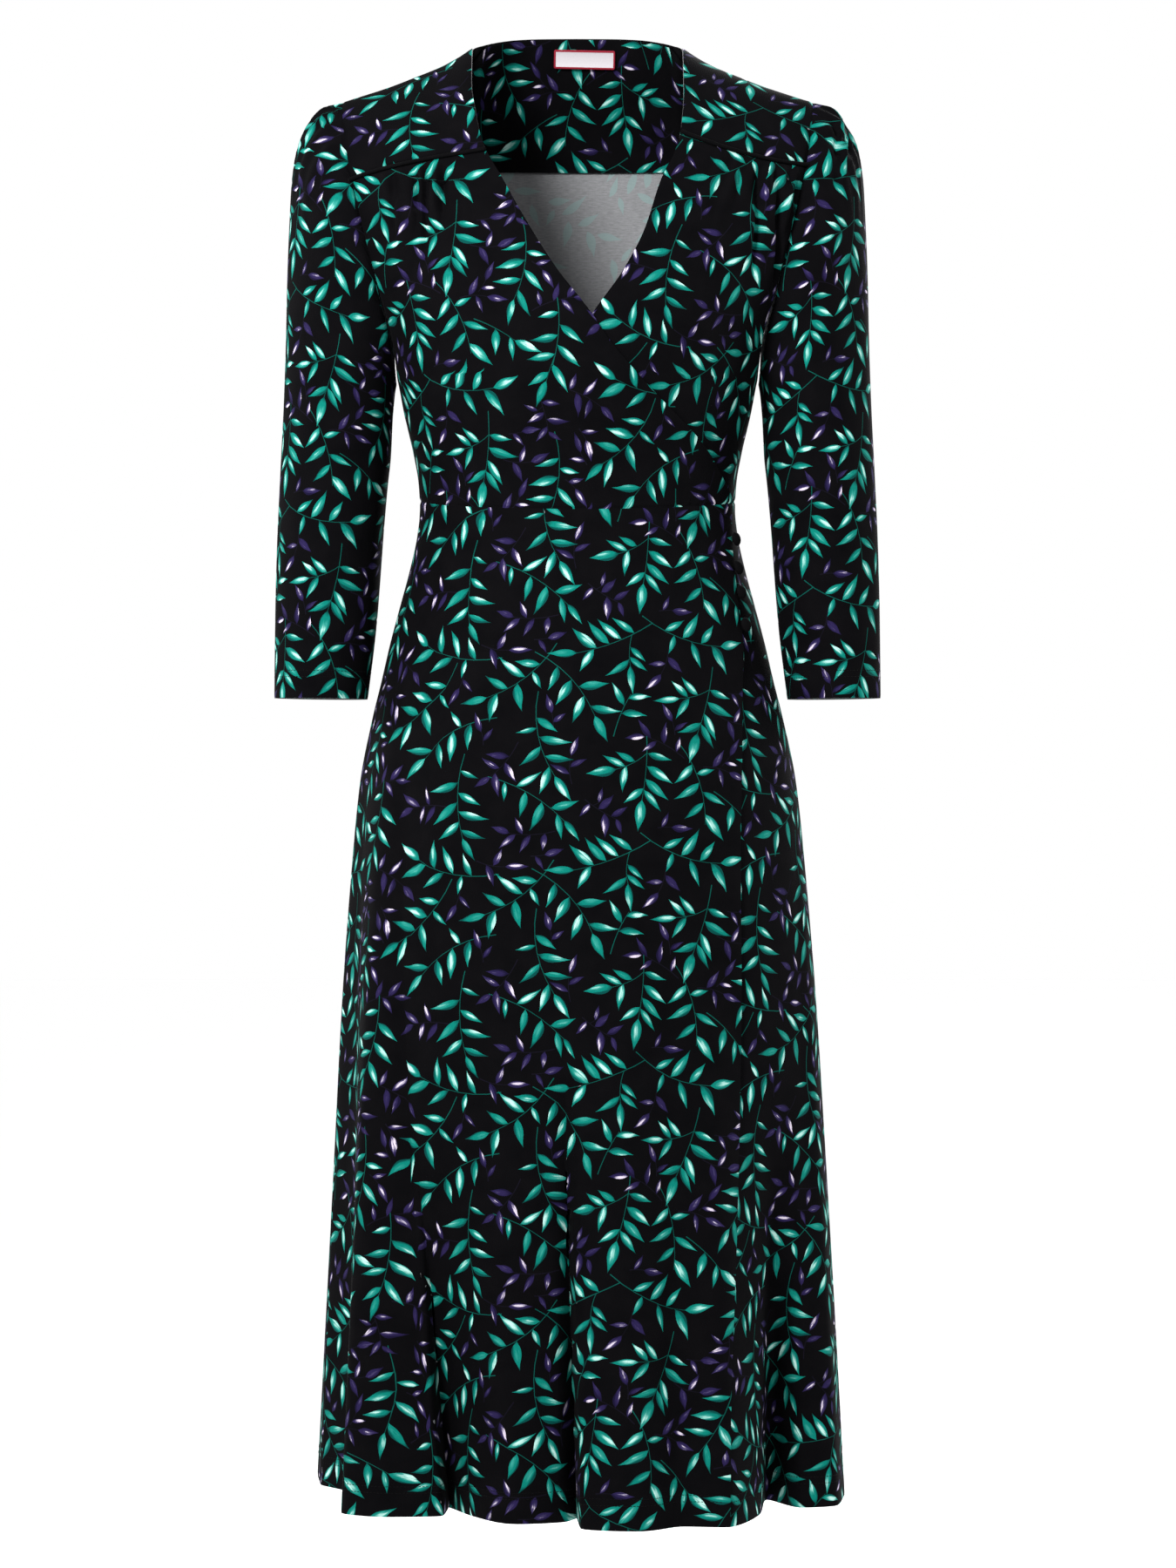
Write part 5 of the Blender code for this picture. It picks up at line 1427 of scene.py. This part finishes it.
def sleeve_panel(is_left):
    """Sleeve as one piece, cut open along the seam below the arm."""
    shares = with_edge_lines(spread(0.0, 1.0, round(SLEEVE_LENGTH / GRID_STEP)), SLEEVE_LENGTH)
    close = np.concatenate((shares[:4], np.linspace(shares[3], 0.05, 8)[1:], shares[shares > 0.056]))
    fold, fold_end = math.pi - GATHERED_IN_FRONT, math.pi + GATHERED_BEHIND
    turns = np.concatenate((spread(SLEEVE_SLIT, fold, 26)[:-1], spread(fold, fold_end, 60),
                            spread(fold_end, 2.0 * math.pi - SLEEVE_SLIT, 30)[1:]))
    turns = with_edge_lines(turns, SLEEVE_GIRTH)
    along, down = np.meshgrid(turns, close)
    return Panel(sleeve_point, column_stack(along, down), turns / (2.0 * math.pi),
                 lambda along, down, share, below: sleeve_gather(along, down), Roll(bottom=FREE_ROLL),
                 tucks=("top",), backward=True, mirrored=is_left)


def skirt_panel(share_at, width, roll, lift=None):
    """Skirt panel; share_at gives a row's places across it, from shares of its width and a height."""
    down = with_edge_lines(spread(0.0, 1.0, round(SKIRT_LENGTH / SKIRT_ROW)), SKIRT_LENGTH)
    across = with_edge_lines(spread(0.0, 1.0, round(width / SKIRT_COLUMN)), width)
    turns = share_at(across[None], blend(WAIST_SIDE, HEM, down)[:, None])
    z = blend(waist_height(math.pi * turns), HEM, down[:, None])
    return Panel(skirt_point, column_stack(turns, z), across, lift, roll, tucks=("top",))


# --- Small pieces ---
CORD_RADIUS = PIPING_RADIUS + 0.0004     # its jersey cover included
CORD_SIDES = 12
CORD_KNIT_RADIUS = 0.0012   # at which the knit on the cover is laid out
CORD_STEPS = 110


def add_piping(name, seam, edge_at, is_left):
    """Cord covered in plain jersey, let into the yoke seam."""
    start = float(armhole_angle(seam.at_armhole)) - 0.006
    end = float(angle_of(edge_at(seam.at_neck), seam.at_neck)) - 0.002
    angles = spread(start, end, CORD_STEPS)
    z = yoke_seam_height(seam, angles)
    ripple = 0.00012 * np.sin(np.arange(len(angles)) * 1.9) + 0.00008 * np.sin(np.arange(len(angles)) * 0.83)
    route = body_point(angles, z) + outward(body_point, angles, z) * (0.0001 + ripple)[:, None]
    if is_left:
        route = route * MIRROR
    ways = unit(np.gradient(route, axis=0))
    side = unit(np.cross(ways, (0.0, 0.0, 1.0)))
    turns = np.arange(CORD_SIDES) * 2.0 * math.pi / CORD_SIDES
    up = np.cross(side, ways)
    ring = side[:, None] * np.cos(turns)[None, :, None] + up[:, None] * np.sin(turns)[None, :, None]
    lengths = lengths_along(route)
    cut = np.concatenate((column_stack(lengths[:, None], turns * CORD_KNIT_RADIUS).reshape(-1, 2),
                          ((0.0, 0.0), (lengths[-1], 0.0))))
    mesh = round_mesh(name, route[:, None] + ring * CORD_RADIUS, route[[0, -1]], cut, backward=True)
    add_piece(name, mesh, [name.replace("_cord", "")])


BUTTON_PROFILE = table(
    "radius height",
    (0.0014, 0.0000),
    (0.0015, 0.0020),
    (0.0016, 0.0035),
    (0.0030, 0.0037),
    (0.0046, 0.0039),
    (0.0053, 0.0043),
    (0.0056, 0.0049),
    (0.0055, 0.0056),
    (0.0051, 0.0063),
    (0.0044, 0.0070),
    (0.0034, 0.0076),
    (0.0022, 0.0080),
    (0.0011, 0.0082),
)
BUTTON_TOP = 0.00825
BUTTON_SIDES = 40
BUTTON_PLEATS = 10
BUTTON_PLEAT_DEPTH = 0.00012


def button_mesh(name):
    """Turned dome on a shank; its cover is pleated where it goes round below the rim."""
    turns = np.arange(BUTTON_SIDES) * 2.0 * math.pi / BUTTON_SIDES
    rings = []
    for ring in BUTTON_PROFILE:
        pleat = BUTTON_PLEAT_DEPTH if 0.0038 < ring.height < 0.0050 else 0.0
        radius = ring.radius + pleat * np.cos(turns * BUTTON_PLEATS)
        rings.append(column_stack(radius * np.cos(turns), radius * np.sin(turns), ring.height))
    ends = np.array(((0.0, 0.0, 0.0), (0.0, 0.0, BUTTON_TOP)))
    return round_mesh(name, np.array(rings), ends, np.concatenate((*rings, ends))[:, :2])


def add_buttons():
    for number, z in enumerate(BUTTON_HEIGHTS, start=1):
        z = np.array([z])
        share, step = wrap_share_at(z), 0.01
        per_share = np.linalg.norm(skirt_point(share + step, z) - skirt_point(share, z)) / step
        share = share + BUTTON_PAST_EDGE / per_share
        normal = Vector(outward(skirt_point, share, z)[0].tolist())
        mesh = button_mesh(f"covered_button_{number}")
        turn = normal.to_track_quat("Z", "Y").to_matrix().to_4x4()
        turn.translation = Vector(skirt_point(share, z)[0].tolist()) + normal * BUTTON_CLEARANCE
        mesh.transform(turn)
        add_piece(f"covered_button_{number}", mesh, [f"button_{number}"])


LABEL_HALF_SIZE = np.array((0.025, 0.007))
LABEL_MIDDLE = (0.0056, 0.0034)
LABEL_TILT = math.radians(1.2)
LABEL_THICKNESS = 0.0008
LABEL_GAP = 0.0009          # between the facing's wall and the label
LABEL_BORDER = 0.0015
LABEL_ROUND = 0.0016
LABEL_STEPS = table(
    "inset rise", (0.0, 0.0), (0.0002, 0.00012), (LABEL_BORDER * 0.5, 0.00018), (LABEL_BORDER, 0.00008),
    (LABEL_BORDER + 0.0002, 0.0))


def add_label():
    """Blank woven label: a satin field inside a raised red border."""
    field = plain_material("label_field", (0.43, 0.405, 0.425), 0.55, 0.1, 1400.0, variation=0.15)
    border = plain_material("label_border", (0.20, 0.010, 0.022), 0.6, 0.1, 1400.0, variation=0.3)
    rings = []
    for inset, rise in LABEL_STEPS:
        width, height = LABEL_HALF_SIZE - inset
        corner = max(LABEL_ROUND - inset, 0.0003)
        rings.append(np.array([(sx * (width - corner) + corner * math.cos(turn),
                                sz * (height - corner) + corner * math.sin(turn), rise)
                               for sx, sz, start in ((1, 1, 0), (-1, 1, 90), (-1, -1, 180), (1, -1, 270))
                               for turn in np.radians(np.linspace(start, start + 90, 7))]))
    back = rings[0] * (1.0, 1.0, 0.0) - (0.0, 0.0, LABEL_THICKNESS * 0.9)
    centre_line = rings[-1] * (0.985, 0.0, 0.0)
    rings = [back, *rings, centre_line]
    points = np.concatenate(rings)
    across, up = rotate(points[:, :2], LABEL_TILT).T
    x, z = LABEL_MIDDLE[0] - across, LABEL_MIDDLE[1] + up
    angle = angle_of(x, z, in_front=False)
    depths = 2.0 * WALL + LINING_GAP + LABEL_GAP + LABEL_THICKNESS + points[:, 2]
    places = body_point(angle, z) - outward(body_point, angle, z) * depths[:, None]
    faces = [ring_quads(len(rings), len(back)), np.arange(len(back))[None, ::-1]]
    slots = np.append(np.repeat((1, 1, 1, 1, 0, 0), len(back)), 1)
    mesh = mesh_from_parts("blank_label", places, faces, [field, border], slots)
    add_piece("blank_label", mesh, ["neck_label"])


STITCH_LENGTH = 0.0021
STITCH_PITCH = 0.0028
STITCH_RADIUS = 0.00022
STITCH_MARGIN = 0.004       # left free at each end of a row
STITCH_RINGS = table(
    "share size rise", (0.0, 0.5, -0.3), (0.25, 1.0, 0.4), (0.75, 1.0, 0.4), (1.0, 0.5, -0.3))


def stitch_row(panel, from_edge):
    """Ends and normals of a row of stitches a set way from the lower edge of a panel."""
    rows, columns = panel.size
    lines = np.linspace(0.0, 1.0, 400) * (columns - 1)
    distance = np.linalg.norm(panel.cloth - panel.cloth[-1:], axis=2)
    j = np.array([np.interp(from_edge, distance[::-1, int(round(i))], np.arange(rows)[::-1]) for i in lines])
    lengths = lengths_along(panel.point(j, lines))
    starts = np.arange(STITCH_MARGIN, lengths[-1] - STITCH_LENGTH - STITCH_MARGIN, STITCH_PITCH)
    at = np.stack((starts, starts + STITCH_LENGTH), axis=1).ravel()
    outer, normal = panel.face(np.interp(at, lengths, j), np.interp(at, lengths, lines))
    return outer.reshape(-1, 2, 3), normal.reshape(-1, 2, 3)


def add_stitches(name, rows):
    """Joins rows of stitches into one piece, a small bar for each stitch."""
    ends, normals = (np.concatenate(part) for part in zip(*rows))
    start, end, up = ends[:, 0], ends[:, 1], normals[:, 0]
    side = np.cross(unit(end - start), up)
    points = []
    for share, size, rise in STITCH_RINGS:
        middle = blend(start, end, share) + up * STITCH_RADIUS * rise
        for c, s in ((1.0, 0.0), (0.0, 1.0), (-1.0, 0.0), (0.0, -1.0)):
            points.append(middle + (side * c + up * s) * STITCH_RADIUS * size)
    bar = np.concatenate((ring_quads(4, 4), ((3, 2, 1, 0), (12, 13, 14, 15))))
    faces = (bar[None] + (np.arange(len(ends)) * len(points))[:, None, None]).reshape(-1, 4)
    points = np.stack(points, axis=1).reshape(-1, 3)
    mesh = mesh_from_parts(name, points, [faces], [THREAD], np.zeros(len(faces)))
    add_piece(name, mesh, ())


# --- Stage, lights and camera ---
CAMERA = (0.0083, -3.6, -0.5817)
PICTURE_HEIGHT = 1.242      # of the view at the middle of the dress
SENSOR = 36.0
FLOOR = -1.42               # where a wearer's feet would stand
FLOOR_RADIUS = 16.0
FLOOR_FADE = 7.0            # how far out the floor is as light as the wall of light round it
LIGHTS = table(
    "name place target_height size power spread",
    ("key", (-1.25, -2.3, 0.95), -0.2, 0.9, 27.0, 70.0),
    ("fill", (2.4, -2.4, 0.4), -0.4, 1.4, 4.0, 120.0),
    ("back", (1.3, 2.6, 1.2), -0.4, 1.2, 36.0, 90.0),
    ("side", (3.0, 0.9, 0.5), -0.4, 1.2, 20.0, 90.0),
    ("other_side", (-3.0, 1.2, 0.5), -0.4, 1.2, 20.0, 90.0),
)


def add_stage():
    bpy.ops.mesh.primitive_circle_add(vertices=96, radius=FLOOR_RADIUS, fill_type="NGON",
                                      location=(0.0, 0.0, FLOOR))
    floor = bpy.context.object
    floor.name = "floor"
    material, tree, shader = new_material("pale_floor", roughness=0.9, specular=0.1)
    place = node(tree, "ShaderNodeTexCoord"), "Object"
    pale = mix_colour(tree, noise(tree, place, 3.0, 2.0), (0.93, 0.93, 0.93), (0.96, 0.96, 0.96))
    # Painted shade: the floor is a little darker near its middle, a broad pool round the dress, and turns
    # white outwards to meet the white world.
    away = node(tree, "ShaderNodeVectorMath", {0: place}, operation="LENGTH"), "Value"
    far = math_node(tree, "MULTIPLY", away, 1.0 / FLOOR_FADE, clamp=True)
    set_colour(tree, shader, mix_colour(tree, far, pale, (1.0, 1.0, 1.0)))
    floor.data.materials.append(material)


def add_object(name, data, place, rotation):
    made = bpy.data.objects.new(name, data)
    bpy.context.scene.collection.objects.link(made)
    made.location = place
    made.rotation_euler = rotation
    return made


def add_lights():
    world = bpy.data.worlds.new("studio")
    world.use_nodes = True
    world.node_tree.nodes["Background"].inputs["Color"].default_value = (1.0, 1.0, 1.0, 1.0)
    world.node_tree.nodes["Background"].inputs["Strength"].default_value = 1.0
    bpy.context.scene.world = world
    for light in LIGHTS:
        data = bpy.data.lights.new(light.name, "AREA")
        data.shape = "DISK"
        data.size = light.size
        data.energy = light.power
        data.spread = math.radians(light.spread)
        way = Vector((0.0, 0.0, light.target_height)) - Vector(light.place)
        add_object(light.name, data, light.place, way.to_track_quat("-Z", "Y").to_euler())


def add_camera():
    data = bpy.data.cameras.new("camera")
    data.sensor_width = SENSOR
    data.sensor_fit = "AUTO"
    data.lens = SENSOR * -CAMERA[1] / PICTURE_HEIGHT
    bpy.context.scene.camera = add_object("camera", data, CAMERA, (math.radians(90.0), 0.0, 0.0))


# --- The scene ---
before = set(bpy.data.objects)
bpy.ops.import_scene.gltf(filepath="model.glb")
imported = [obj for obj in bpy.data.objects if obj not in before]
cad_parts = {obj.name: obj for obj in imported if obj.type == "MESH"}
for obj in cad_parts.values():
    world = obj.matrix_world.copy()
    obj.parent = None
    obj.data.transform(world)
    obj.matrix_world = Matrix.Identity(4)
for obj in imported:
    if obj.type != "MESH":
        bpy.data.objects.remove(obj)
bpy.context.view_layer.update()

add_camera()
add_stage()
add_lights()
bpy.context.scene.view_settings.view_transform = "Standard"

right_front = front_panel(RIGHT_YOKE_SEAM, right_edge_at, RIGHT_GATHERS, False)
left_front = front_panel(LEFT_YOKE_SEAM, left_edge_at, LEFT_GATHERS, True)
back = Panel(body_point, *back_places()[:2], tucks=("left", "right"))
right_sleeve, left_sleeve = sleeve_panel(False), sleeve_panel(True)
right_skirt = skirt_panel(lambda across, z: across * wrap_share_at(z), 0.50,
                          Roll(bottom=FREE_ROLL, right=FREE_ROLL),
                          lambda along, down, share, below: overlap_lift(along, np.minimum(down, WAIST_SIDE)))
left_skirt = skirt_panel(lambda across, z: blend(HIDDEN_EDGE_SHARE, 1.0, across) + 0.0 * z, 0.46,
                         Roll(bottom=FREE_ROLL, left=FREE_ROLL))
back_skirt = skirt_panel(lambda across, z: 1.0 + across + 0.0 * z, 0.66, Roll(bottom=FREE_ROLL))

for panel, creases in ((right_front, RIGHT_FRONT_CREASES), (left_front, LEFT_FRONT_CREASES),
                       (right_sleeve, RIGHT_SLEEVE_CREASES), (left_sleeve, LEFT_SLEEVE_CREASES),
                       (back, BACK_CREASES)):
    panel.creases = [crease_on(panel, crease) for crease in creases]
for panel, side in ((right_sleeve, -1.0), (left_sleeve, 1.0)):
    for crease in SLEEVE_BEHIND_CREASES:
        crease = crease._replace(x=crease.x * side, end_x=crease.end_x * side)
        panel.creases.append(crease_on(panel, crease, behind=True))

add_cloth("jersey_front_right", right_front, (0.031, 0.012), ["bodice_front_right"], through=True,
          light_edge=True)
add_cloth("jersey_front_left", left_front, (0.120, 0.061), ["bodice_front_left"], through=True,
          light_edge=True)
add_cloth("jersey_yoke_right", yoke_panel(RIGHT_YOKE_SEAM, right_edge_at, False), (0.210, 0.094),
          ["yoke_right"], light_edge=True)
add_cloth("jersey_yoke_left", yoke_panel(LEFT_YOKE_SEAM, left_edge_at, True), (0.055, 0.130),
          ["yoke_left"], light_edge=True)
add_cloth("jersey_back", back, (0.160, 0.020), ["bodice_back"], through="below facing")
add_cloth("jersey_facing", facing_panel(), (0.020, 0.075), ["back_facing"], depth=WALL + LINING_GAP,
          lining=True)
add_cloth("jersey_sleeve_right", right_sleeve, (0.090, 0.110), ["sleeve_right"], through=True)
add_cloth("jersey_sleeve_left", left_sleeve, (0.300, 0.045), ["sleeve_left"], through=True)
add_cloth("jersey_skirt_right", right_skirt, (0.130, 0.080), ["skirt_front_right"])
add_cloth("jersey_skirt_left", left_skirt, (0.250, 0.150), ["skirt_front_left"])
add_cloth("jersey_skirt_back", back_skirt, (0.070, 0.030), ["skirt_back"])
add_piping("piping_right_cord", RIGHT_YOKE_SEAM, right_edge_at, False)
add_piping("piping_left_cord", LEFT_YOKE_SEAM, left_edge_at, True)
add_buttons()
add_label()
add_stitches("hem_stitches", [stitch_row(panel, from_edge) for from_edge in (0.0185, 0.0235)
                              for panel in (right_skirt, left_skirt, back_skirt)])
for name, panel in (("right", right_sleeve), ("left", left_sleeve)):
    add_stitches(f"cuff_stitches_{name}", [stitch_row(panel, 0.0165), stitch_row(panel, 0.0215)])
